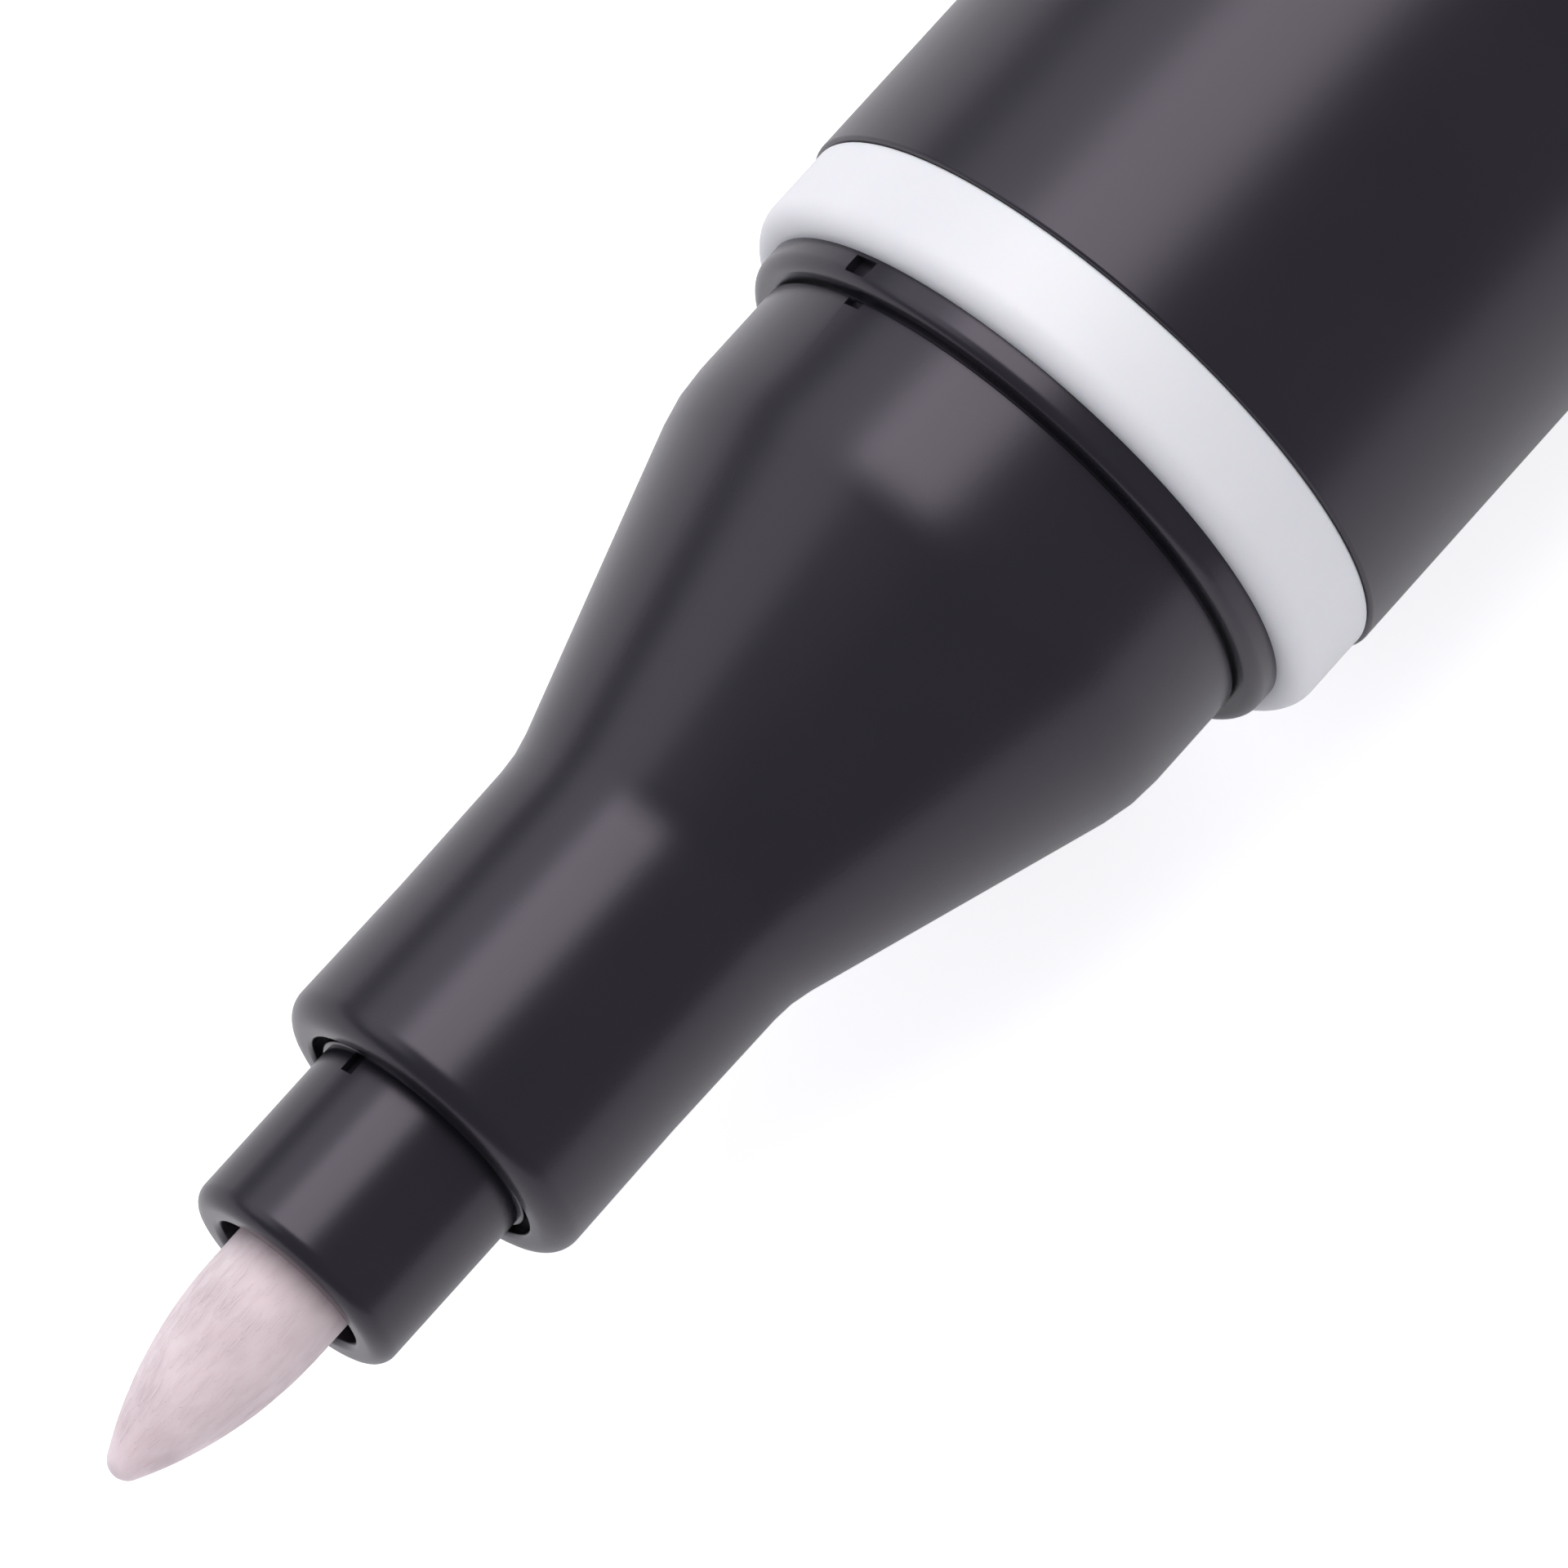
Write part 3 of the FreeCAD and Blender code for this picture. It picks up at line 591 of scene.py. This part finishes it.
moulded_white = white_abs()
ring = turned("ring_band", with_rounds([
    (ring_front, bore),
    (ring_front, ring_radius, RING_FRONT_ROUND),
    (ring_back, ring_radius, RING_BACK_ROUND),
    (ring_back, bore),
]))
finish_surface(ring, moulded_white)
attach(ring, "pen")
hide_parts("colour_ring")

# Barrel: an extruded tube of black polypropylene, cut to length, with six ribs inside that
# hold the ink reservoir clear of the wall. The nose section's spigot is pressed into it.
BARREL_EDGE_ROUND = 0.06
BARREL_EDGE_STEPS = 5
RIB_COUNT = 6
RIB_WIDTH = 0.6
RIB_ROOT = 0.3
RIB_MARGIN = 1.0
EXTRUDED_ROUGHNESS = 0.3
EXTRUDED_GRAIN = 0.15


def round_the_axis(tree, first, count):
    """Nodes that set a number of copies of a form evenly round the pen's axis."""
    places = add_node(tree, "GeometryNodePoints", (), {"Count": count})
    index = add_node(tree, "GeometryNodeInputIndex")
    share = add_node(
        tree, "ShaderNodeMath", {"operation": "DIVIDE"}, {0: index.outputs["Index"], 1: count})
    angle = add_node(
        tree, "ShaderNodeMath", {"operation": "MULTIPLY"}, {0: share.outputs["Value"]})
    angle.inputs[1].default_value = math.tau
    turn = add_node(tree, "ShaderNodeCombineXYZ", (), {"X": angle.outputs["Value"]})
    copies = add_node(
        tree, "GeometryNodeInstanceOnPoints", (),
        {"Points": places.outputs["Points"], "Instance": first,
         "Rotation": turn.outputs["Vector"]})
    return copies.outputs["Instances"]


def tube_tree():
    """A geometry tree for a tube along X with ribs inside it."""
    tree, given, identifiers = new_geometry_tree("ribbed_tube", {
        "Length": "Float", "Radius": "Float", "Wall": "Float", "Edge Round": "Float",
        "Steps": "Int", "Rib Count": "Int", "Rib Size": "Vector", "Rib Middle": "Vector",
        "Material": "Material"})
    half_wall = add_node(
        tree, "ShaderNodeMath", {"operation": "DIVIDE"}, {0: given.outputs["Wall"]})
    half_wall.inputs[1].default_value = 2.0
    middle_radius = add_node(
        tree, "ShaderNodeMath", {"operation": "SUBTRACT"},
        {0: given.outputs["Radius"], 1: half_wall.outputs["Value"]})
    path = add_node(
        tree, "GeometryNodeCurvePrimitiveCircle", (),
        {"Resolution": given.outputs["Steps"], "Radius": middle_radius.outputs["Value"]})
    section = add_node(
        tree, "GeometryNodeCurvePrimitiveQuadrilateral", (),
        {"Width": given.outputs["Wall"], "Height": given.outputs["Length"]})
    rounded = add_node(
        tree, "GeometryNodeFilletCurve", {"mode": "POLY", "Count": BARREL_EDGE_STEPS},
        {"Curve": section.outputs["Curve"], "Radius": given.outputs["Edge Round"]})
    swept = add_node(
        tree, "GeometryNodeCurveToMesh", (),
        {"Curve": path.outputs["Curve"], "Profile Curve": rounded.outputs["Curve"]})
    half_length = add_node(
        tree, "ShaderNodeMath", {"operation": "DIVIDE"}, {0: given.outputs["Length"]})
    half_length.inputs[1].default_value = 2.0
    tube_middle = add_node(
        tree, "ShaderNodeCombineXYZ", (), {"X": half_length.outputs["Value"]})
    tube = add_node(
        tree, "GeometryNodeTransform", {"Rotation": (0.0, math.pi / 2, 0.0)},
        {"Geometry": swept.outputs["Mesh"], "Translation": tube_middle.outputs["Vector"]})
    bar = add_node(tree, "GeometryNodeMeshCube", (), {"Size": given.outputs["Rib Size"]})
    placed_bar = add_node(
        tree, "GeometryNodeTransform", (),
        {"Geometry": bar.outputs["Mesh"], "Translation": given.outputs["Rib Middle"]})
    ribs = round_the_axis(
        tree, placed_bar.outputs["Geometry"], given.outputs["Rib Count"])
    both = add_node(tree, "GeometryNodeJoinGeometry")
    tree.links.new(tube.outputs["Geometry"], both.inputs["Geometry"])
    tree.links.new(ribs, both.inputs["Geometry"])
    real = add_node(
        tree, "GeometryNodeRealizeInstances", (), {"Geometry": both.outputs["Geometry"]})
    dressed = add_node(
        tree, "GeometryNodeSetMaterial", (),
        {"Geometry": real.outputs["Geometry"], "Material": given.outputs["Material"]})
    add_node(tree, "NodeGroupOutput", (), {"Geometry": dressed.outputs["Geometry"]})
    return tree, identifiers


extruded_black = black_plastic("extruded_polypropylene", EXTRUDED_ROUGHNESS, EXTRUDED_GRAIN)
_, barrel_back, barrel_radius = span("barrel")
plug_front, tail_back, _ = span("barrel_end_plug")
rib_length = plug_front - spigot_back - 2 * RIB_MARGIN
rib_top = bore + RIB_ROOT
barrel_tree, barrel_inputs = tube_tree()
barrel = new_piece("barrel_tube", bpy.data.meshes.new("barrel_tube"))
barrel.data = made_by_tree(barrel, barrel_tree, barrel_inputs, {
    "Length": barrel_back * MM,
    "Radius": barrel_radius * MM,
    "Wall": (barrel_radius - bore) * MM,
    "Edge Round": BARREL_EDGE_ROUND * MM,
    "Steps": TURN_STEPS,
    "Rib Count": RIB_COUNT,
    "Rib Size": (rib_length * MM, (rib_top - CAVITY_RADIUS) * MM, RIB_WIDTH * MM),
    "Rib Middle": ((spigot_back + plug_front) / 2 * MM, (rib_top + CAVITY_RADIUS) / 2 * MM, 0.0),
    "Material": extruded_black,
})
finish_surface(barrel, extruded_black)
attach(barrel, "pen")
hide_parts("barrel")

# Ink reservoir: a bundle of polyester fibres in a sleeve of clear film, slid into the barrel
# from behind. Both are closed in, so their CAD solids stay and only get their finish.
BUNDLE_WHITE = "#efece2"
BUNDLE_SHADE = "#dcd7c8"
FILM_CLEAR = "#dfe4e8"
STRAND_SPACING = 0.1
STRAND_LENGTH = 5.0
STRAND_DEPTH = 0.03
WRINKLE_SIZE = 1.5
WRINKLE_DEPTH = 0.05
HAZE_LEAST = 0.12
HAZE_MOST = 0.4


def fibre_bundle():
    """Drawn polyester fibre: soft and warm white, with fine strands along the pen."""
    material, tree, place = new_material("drawn_polyester_fibre")
    along = add_node(
        tree, "ShaderNodeMapping", {"Scale": (STRAND_SPACING / STRAND_LENGTH, 1.0, 1.0)},
        {"Vector": place})
    strands = add_node(
        tree, "ShaderNodeTexNoise", {"Scale": 1 / (STRAND_SPACING * MM), "Detail": 2.0},
        {"Vector": along.outputs["Vector"]})
    colour = add_node(
        tree, "ShaderNodeMix", {"data_type": "RGBA"}, {"Factor": strands.outputs["Fac"]})
    colour.inputs["A"].default_value = linear(BUNDLE_WHITE)
    colour.inputs["B"].default_value = linear(BUNDLE_SHADE)
    relief = add_node(
        tree, "ShaderNodeBump", {"Strength": 0.5, "Distance": STRAND_DEPTH * MM},
        {"Height": strands.outputs["Fac"]})
    shader = add_node(
        tree, "ShaderNodeBsdfPrincipled",
        {"Roughness": 0.9, "Sheen Weight": 0.3},
        {"Base Color": colour.outputs["Result"], "Normal": relief.outputs["Normal"]})
    add_node(tree, "ShaderNodeOutputMaterial", (), {"Surface": shader.outputs["BSDF"]})
    return material


def clear_film():
    """Polyethylene film: thin and clear, with a slight haze where it wrinkles."""
    material, tree, place = new_material("polyethylene_film")
    wrinkles = add_node(
        tree, "ShaderNodeTexNoise", {"Scale": 1 / (WRINKLE_SIZE * MM), "Detail": 4.0},
        {"Vector": place})
    haze = add_node(
        tree, "ShaderNodeMapRange", {"To Min": HAZE_LEAST, "To Max": HAZE_MOST},
        {"Value": wrinkles.outputs["Fac"]})
    relief = add_node(
        tree, "ShaderNodeBump", {"Strength": 0.3, "Distance": WRINKLE_DEPTH * MM},
        {"Height": wrinkles.outputs["Fac"]})
    shader = add_node(
        tree, "ShaderNodeBsdfPrincipled",
        {"Base Color": linear(FILM_CLEAR), "IOR": 1.5, "Transmission Weight": 0.9},
        {"Roughness": haze.outputs["Result"], "Normal": relief.outputs["Normal"]})
    add_node(tree, "ShaderNodeOutputMaterial", (), {"Surface": shader.outputs["BSDF"]})
    return material


def dress(node, material):
    """Give a CAD node that stays its material."""
    for slot in frame["nodes"][node].material_slots:
        slot.link = "OBJECT"
        slot.material = material


dress("ink_reservoir", fibre_bundle())
dress("reservoir_wrap", clear_film())

# Tail plug: a hollow moulding of black polypropylene, pressed into the barrel's rear end.
# Its bead and seat are those of the nose, so that the cap posts on them as it closes.
PLUG_WALL = 1.0
TAIL_END_ROUND = 1.4
TAIL_EDGE_ROUND = 0.2

bead_back = barrel_back + COLLAR_LENGTH
plug_bore = bore - PLUG_WALL
plug = turned("tail_plug", with_rounds([
    (plug_front, plug_bore),
    (plug_front, bore, TAIL_EDGE_ROUND),
    (barrel_back, bore),
    (barrel_back, COLLAR_RADIUS),
    (bead_back, COLLAR_RADIUS, TAIL_EDGE_ROUND),
    (bead_back, SEAT_RADIUS),
    (tail_back, SEAT_RADIUS, TAIL_END_ROUND),
    (tail_back, 0),
    (tail_back - PLUG_WALL, 0),
    (tail_back - PLUG_WALL, plug_bore),
]))
finish_surface(plug, moulded_black)
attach(plug, "pen")
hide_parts("barrel_end_plug")

# Cap: a sleeve of black polypropylene with the barrel's finish, a little wider than the barrel
# and pushed over the tail. A slot takes the clip's root, and its turn lays the clip low.
CAP_BORE = 5.275
CAP_INNER_BORE = 5.1
CAP_MOUTH_BORE = 5.71
CAP_MOUTH_DEPTH = 1.17
CAP_MOUTH_ROUND = 0.25
CAP_END_ROUND = 0.8
BUTTON_THICKNESS = 0.8
CLIP_SETBACK = 1.8
CLIP_ROOT_LENGTH = 2.4
CLIP_ROOT_WIDTH = 2.4
CLIP_CLEARANCE = 0.15
LINER_FLANGE_LENGTH = 2.0


def turn_about_axis(piece, angle):
    """Turn a piece's mesh about the pen's axis."""
    piece.data.transform(Matrix.Rotation(angle, 4, "X"))


hinge = next(joint for joint in frame["joints"] if joint["name"] == "clip_flex")
cap_turn = math.atan2(hinge["axis"][2], hinge["axis"][1])
cap_front, cap_back, cap_radius = span("cap_shell")
liner_front = span("cap_inner_seal")[0]
button_front, _, button_radius = span("cap_end_button")
clip_back = cap_back - CLIP_SETBACK
root_front = clip_back - CLIP_ROOT_LENGTH
recess_front = cap_back - BUTTON_THICKNESS
cap = turned("cap_sleeve", with_rounds([
    (cap_front, CAP_MOUTH_BORE, CAP_MOUTH_ROUND / 2),
    (cap_front, cap_radius, CAP_MOUTH_ROUND),
    (cap_back, cap_radius, CAP_END_ROUND),
    (cap_back, button_radius),
    (recess_front, button_radius),
    (recess_front, CAP_INNER_BORE),
    (liner_front + LINER_FLANGE_LENGTH, CAP_INNER_BORE),
    (liner_front + LINER_FLANGE_LENGTH, CAP_BORE),
    (cap_front + CAP_MOUTH_DEPTH, CAP_BORE),
    (cap_front + CAP_MOUTH_DEPTH, CAP_MOUTH_BORE),
]))
slot_half = CLIP_ROOT_WIDTH / 2 + CLIP_CLEARANCE
cut_out(
    cap,
    (root_front - CLIP_CLEARANCE, -slot_half, CAP_INNER_BORE / 2),
    (clip_back + CLIP_CLEARANCE, slot_half, cap_radius + CLIP_ROOT_LENGTH))
turn_about_axis(cap, cap_turn)
finish_surface(cap, extruded_black)
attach(cap, "cap")
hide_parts("cap_shell")

# Cap liner: a cup of natural polyethylene pressed into the cap, which seals on the neck when
# the cap is on the nib. It is out of sight, so its CAD solid stays and gets its finish.
LINER_NATURAL = "#e6e5df"
LINER_SHADE = "#d5d4cb"
LINER_CLOUD_SIZE = 3.0
LINER_LIGHT_DEPTH = 1.0


def natural_polyethylene():
    """Natural polyethylene: milky and waxy, light passing a short way into it."""
    material, tree, place = new_material("natural_polyethylene")
    clouds = add_node(
        tree, "ShaderNodeTexNoise", {"Scale": 1 / (LINER_CLOUD_SIZE * MM), "Detail": 2.0},
        {"Vector": place})
    colour = add_node(
        tree, "ShaderNodeMix", {"data_type": "RGBA"}, {"Factor": clouds.outputs["Fac"]})
    colour.inputs["A"].default_value = linear(LINER_NATURAL)
    colour.inputs["B"].default_value = linear(LINER_SHADE)
    shader = add_node(
        tree, "ShaderNodeBsdfPrincipled",
        {"IOR": 1.51, "Roughness": 0.5, "Subsurface Weight": 0.4,
         "Subsurface Scale": LINER_LIGHT_DEPTH * MM},
        {"Base Color": colour.outputs["Result"]})
    add_node(tree, "ShaderNodeOutputMaterial", (), {"Surface": shader.outputs["BSDF"]})
    return material


dress("cap_inner_seal", natural_polyethylene())

# End button: a disc of the ring's white ABS with a skirt, pressed into the cap's end. Three
# holes let air through the cap, as the safety rule for small caps asks.
BUTTON_EDGE_ROUND = 0.12
BUTTON_SKIRT_WALL = 0.8
BUTTON_VENT_COUNT = 3
BUTTON_VENT_RADIUS = 0.5
BUTTON_VENT_OFFSET = 3.0
VENT_STEPS = 32


def drilled_tree():
    """A geometry tree that drills a ring of round holes through a disc, along X."""
    tree, given, identifiers = new_geometry_tree("drilled_disc", {
        "Hole Count": "Int", "Hole Radius": "Float", "Hole Steps": "Int", "Depth": "Float",
        "Place": "Float", "Offset": "Float", "Material": "Material"})
    drill = add_node(
        tree, "GeometryNodeMeshCylinder", (),
        {"Vertices": given.outputs["Hole Steps"], "Radius": given.outputs["Hole Radius"],
         "Depth": given.outputs["Depth"]})
    first_place = add_node(
        tree, "ShaderNodeCombineXYZ", (),
        {"X": given.outputs["Place"], "Y": given.outputs["Offset"]})
    first = add_node(
        tree, "GeometryNodeTransform", {"Rotation": (0.0, math.pi / 2, 0.0)},
        {"Geometry": drill.outputs["Mesh"], "Translation": first_place.outputs["Vector"]})
    drills = round_the_axis(tree, first.outputs["Geometry"], given.outputs["Hole Count"])
    drilled = add_node(
        tree, "GeometryNodeMeshBoolean", {"operation": "DIFFERENCE", "solver": "EXACT"},
        {"Mesh 1": given.outputs["Geometry"], "Mesh 2": drills})
    real = add_node(
        tree, "GeometryNodeRealizeInstances", (), {"Geometry": drilled.outputs["Mesh"]})
    dressed = add_node(
        tree, "GeometryNodeSetMaterial", (),
        {"Geometry": real.outputs["Geometry"], "Material": given.outputs["Material"]})
    add_node(tree, "NodeGroupOutput", (), {"Geometry": dressed.outputs["Geometry"]})
    return tree, identifiers


skirt_bore = CAP_INNER_BORE - BUTTON_SKIRT_WALL
button = turned("end_button", with_rounds([
    (button_front, skirt_bore),
    (button_front, CAP_INNER_BORE, BUTTON_EDGE_ROUND),
    (recess_front, CAP_INNER_BORE),
    (recess_front, button_radius),
    (cap_back, button_radius, BUTTON_EDGE_ROUND),
    (cap_back, 0),
    (recess_front, 0),
    (recess_front, skirt_bore),
]))
drill_tree, drill_inputs = drilled_tree()
button.data = made_by_tree(button, drill_tree, drill_inputs, {
    "Hole Count": BUTTON_VENT_COUNT,
    "Hole Radius": BUTTON_VENT_RADIUS * MM,
    "Hole Steps": VENT_STEPS,
    "Depth": 3 * BUTTON_THICKNESS * MM,
    "Place": (cap_back - BUTTON_THICKNESS / 2) * MM,
    "Offset": BUTTON_VENT_OFFSET * MM,
    "Material": moulded_white,
})
turn_about_axis(button, cap_turn)
finish_surface(button, moulded_white)
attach(button, "cap")
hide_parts("cap_end_button")

# Clip: a springy arm of black polypropylene. Its root snaps into the cap's slot, and a round
# foot near the tip holds the cap to a pocket.
CLIP_WIDTH = 3.4
CLIP_THICKNESS = 1.2
CLIP_GAP = 1.25
CLIP_SHOULDER_ROUND = 1.8
CLIP_TIP_ROUND = 1.5
CLIP_TIP_STEPS = 8
CLIP_EDGE_ROUND = 0.33
CLIP_EDGE_STEPS = 4
CLIP_EDGE_ANGLE = math.radians(40)
SAME_PLACE = 1e-7
FOOT_SETBACK = 3.6
FOOT_RADIUS = 1.6
FOOT_CLEARANCE = 0.15
FOOT_STEPS = 12


def clip_side():
    """Side view of the arm, root and foot: points along the pen and away from its axis."""
    underside = cap_radius + CLIP_GAP
    top = underside + CLIP_THICKNESS
    tip = span("cap_clip")[0]
    foot_place = tip + FOOT_SETBACK
    foot_centre = cap_radius + FOOT_CLEARANCE + FOOT_RADIUS
    foot_half_angle = math.acos((foot_centre - underside) / FOOT_RADIUS)
    foot_angles = [
        foot_half_angle * (1 - 2 * step / FOOT_STEPS) for step in range(FOOT_STEPS + 1)
    ]
    foot = [
        (foot_place + FOOT_RADIUS * math.sin(a), foot_centre - FOOT_RADIUS * math.cos(a))
        for a in foot_angles
    ]
    arm = with_rounds([
        (tip, underside),
        (tip, top),
        (clip_back, top, CLIP_SHOULDER_ROUND),
        (clip_back, cap_radius + CLIP_CLEARANCE),
        (root_front, cap_radius + CLIP_CLEARANCE),
        (root_front, underside, CLIP_GAP / 2),
    ])
    return [*arm, *foot]


def clip_mesh():
    """The arm as a plate of that side view with a round tip."""
    shape = bmesh.new()
    side = [
        shape.verts.new((place * MM, -CLIP_WIDTH / 2 * MM, height * MM))
        for place, height in clip_side()
    ]
    plate = shape.faces.new(side)
    grown = bmesh.ops.extrude_face_region(shape, geom=[plate])["geom"]
    far_side = [item for item in grown if isinstance(item, bmesh.types.BMVert)]
    bmesh.ops.translate(shape, verts=far_side, vec=(0, CLIP_WIDTH * MM, 0))
    bmesh.ops.recalc_face_normals(shape, faces=shape.faces)
    front = min(vertex.co.x for vertex in shape.verts)
    corners = [
        edge for edge in shape.edges
        if all(abs(vertex.co.x - front) < SAME_PLACE for vertex in edge.verts)
        and abs(edge.verts[0].co.y - edge.verts[1].co.y) < SAME_PLACE
    ]
    bmesh.ops.bevel(
        shape, geom=corners, offset=CLIP_TIP_ROUND * MM, segments=CLIP_TIP_STEPS, profile=0.5,
        affect="EDGES")
    mesh = bpy.data.meshes.new("clip_arm")
    shape.to_mesh(mesh)
    shape.free()
    return mesh


clip = new_piece("clip_arm", clip_mesh())
edges = clip.modifiers.new("edge_rounds", "BEVEL")
edges.width = CLIP_EDGE_ROUND * MM
edges.segments = CLIP_EDGE_STEPS
edges.angle_limit = CLIP_EDGE_ANGLE
apply_modifiers(clip)
root_shape = box_shape(
    (root_front, -CLIP_ROOT_WIDTH / 2, CAP_INNER_BORE + CLIP_CLEARANCE),
    (clip_back, CLIP_ROOT_WIDTH / 2, cap_radius + CLIP_GAP))
root_shape.from_mesh(clip.data)
root_shape.to_mesh(clip.data)
root_shape.free()
turn_about_axis(clip, cap_turn)
finish_surface(clip, moulded_black)
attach(clip, "clip")
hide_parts("cap_clip")

# Studio: a white sweep that glows to the camera, in an even pale room. A softbox above the pen
# draws the long highlight, a panel further left lights its side, and a weak fill on the right
# keeps the shadow soft. Each lamp fades towards its edges.
FLOOR_SIZE = 3.0
FLOOR_WHITE = "#f4f4f6"
FLOOR_GLOW = 0.7
FLOOR_GLOW_IN_GLOSS = 0.18
ROOM_WHITE = "#f3f3fa"
ROOM_LIGHT = 0.34
LAMP_EDGE = 0.5
LAMP_FADE = 0.28
SOFTBOX_LEAN = math.radians(19)
SOFTBOX_TILT = math.radians(14)
SOFTBOX_DISTANCE = 0.6
SOFTBOX_LENGTH = 0.56
SOFTBOX_WIDTH = 0.6
SOFTBOX_WATTS = 3.7
SOFTBOX_COLOUR = (1.0, 0.96, 0.94)
PANEL_LEAN = math.radians(52)
PANEL_TILT = 0.0
PANEL_DISTANCE = 0.7
PANEL_LENGTH = 1.6
PANEL_WIDTH = 0.7
PANEL_WATTS = 4.2
PANEL_COLOUR = (0.97, 0.96, 1.0)
FILL_LEAN = math.radians(-55)
FILL_TILT = 0.0
FILL_DISTANCE = 0.8
FILL_SIZE = 0.8
FILL_WATTS = 3.6
FILL_COLOUR = (1.0, 0.97, 0.97)


def sweep_material():
    """Matte white card that is lit by the room, and glows to rays that see it directly."""
    material, tree, _ = new_material("matte_white_card")
    seen = add_node(tree, "ShaderNodeLightPath")
    direct = add_node(
        tree, "ShaderNodeMath", {"operation": "MAXIMUM"},
        {0: seen.outputs["Is Camera Ray"], 1: seen.outputs["Is Transmission Ray"]})
    direct_glow = add_node(
        tree, "ShaderNodeMapRange", {"To Min": 0.0, "To Max": FLOOR_GLOW},
        {"Value": direct.outputs["Value"]})
    gloss_glow = add_node(
        tree, "ShaderNodeMapRange", {"To Min": 0.0, "To Max": FLOOR_GLOW_IN_GLOSS},
        {"Value": seen.outputs["Is Glossy Ray"]})
    glow_strength = add_node(
        tree, "ShaderNodeMath", {"operation": "MAXIMUM"},
        {0: direct_glow.outputs["Result"], 1: gloss_glow.outputs["Result"]})
    glow = add_node(
        tree, "ShaderNodeEmission", {"Color": linear(FLOOR_WHITE)},
        {"Strength": glow_strength.outputs["Value"]})
    card = add_node(tree, "ShaderNodeBsdfDiffuse", {"Color": linear(FLOOR_WHITE)})
    both = add_node(
        tree, "ShaderNodeAddShader", (), {0: card.outputs["BSDF"], 1: glow.outputs["Emission"]})
    add_node(tree, "ShaderNodeOutputMaterial", (), {"Surface": both.outputs["Shader"]})
    return material


floor_shape = bmesh.new()
bmesh.ops.create_grid(floor_shape, x_segments=1, y_segments=1, size=FLOOR_SIZE / 2)
floor_mesh = bpy.data.meshes.new("floor")
floor_shape.to_mesh(floor_mesh)
floor_shape.free()
floor = new_piece("floor", floor_mesh)
floor.location.z = cad_box[0].z
floor.data.materials.append(sweep_material())

room = bpy.data.worlds.new("room")
room.use_nodes = True
room.node_tree.nodes.clear()
seen_directly = add_node(room.node_tree, "ShaderNodeLightPath")
room_strength = add_node(
    room.node_tree, "ShaderNodeMapRange", {"To Min": ROOM_LIGHT, "To Max": 1.0},
    {"Value": seen_directly.outputs["Is Camera Ray"]})
room_light = add_node(
    room.node_tree, "ShaderNodeBackground", {"Color": linear(ROOM_WHITE)},
    {"Strength": room_strength.outputs["Result"]})
add_node(
    room.node_tree, "ShaderNodeOutputWorld", (), {"Surface": room_light.outputs["Background"]})
bpy.context.scene.world = room


def fade_to_edges(data):
    """Let a lamp's white cloth grow dimmer towards its four edges, so its mirror image is soft."""
    data.use_nodes = True
    tree = data.node_tree
    tree.nodes.clear()
    place = add_node(tree, "ShaderNodeNewGeometry")
    from_middle = add_node(
        tree, "ShaderNodeVectorMath", {"operation": "SUBTRACT"},
        {0: place.outputs["Parametric"]})
    from_middle.inputs[1].default_value = (LAMP_EDGE, LAMP_EDGE, 0.0)
    aside = add_node(
        tree, "ShaderNodeVectorMath", {"operation": "ABSOLUTE"}, {0: from_middle.outputs[0]})
    sides = add_node(tree, "ShaderNodeSeparateXYZ", (), {0: aside.outputs[0]})
    fades = [
        add_node(
            tree, "ShaderNodeMapRange",
            {"interpolation_type": "SMOOTHSTEP", "From Min": LAMP_EDGE - LAMP_FADE,
             "From Max": LAMP_EDGE, "To Min": 1.0, "To Max": 0.0},
            {"Value": sides.outputs[side]})
        for side in ("X", "Y")
    ]
    strength = add_node(
        tree, "ShaderNodeMath", {"operation": "MULTIPLY"},
        {0: fades[0].outputs["Result"], 1: fades[1].outputs["Result"]})
    glow = add_node(
        tree, "ShaderNodeEmission", (), {"Strength": strength.outputs["Value"]})
    add_node(tree, "ShaderNodeOutputLight", (), {"Surface": glow.outputs["Emission"]})


def hang_lamp(name, lean, tilt, distance, length, width, watts, colour):
    """A flat lamp aimed at the pen's nose, leaning to its left and tilted along the pen."""
    data = bpy.data.lights.new(name, "AREA")
    data.shape = "RECTANGLE"
    data.size = length
    data.size_y = width
    data.energy = watts
    data.color = colour
    fade_to_edges(data)
    lamp = bpy.data.objects.new(name, data)
    bpy.context.scene.collection.objects.link(lamp)
    placing = Matrix.Rotation(-lean, 4, "X") @ Matrix.Rotation(tilt, 4, "Y")
    placing @= Matrix.Translation((0, 0, distance))
    lamp.matrix_world = Matrix.Translation(CAMERA_AIM) @ placing
    return lamp


hang_lamp(
    "softbox", SOFTBOX_LEAN, SOFTBOX_TILT, SOFTBOX_DISTANCE, SOFTBOX_LENGTH, SOFTBOX_WIDTH,
    SOFTBOX_WATTS, SOFTBOX_COLOUR)
hang_lamp(
    "side_panel", PANEL_LEAN, PANEL_TILT, PANEL_DISTANCE, PANEL_LENGTH, PANEL_WIDTH,
    PANEL_WATTS, PANEL_COLOUR)
fill = hang_lamp(
    "fill", FILL_LEAN, FILL_TILT, FILL_DISTANCE, FILL_SIZE, FILL_SIZE, FILL_WATTS,
    FILL_COLOUR)
fill.visible_glossy = False

bpy.context.scene.view_settings.view_transform = "Standard"
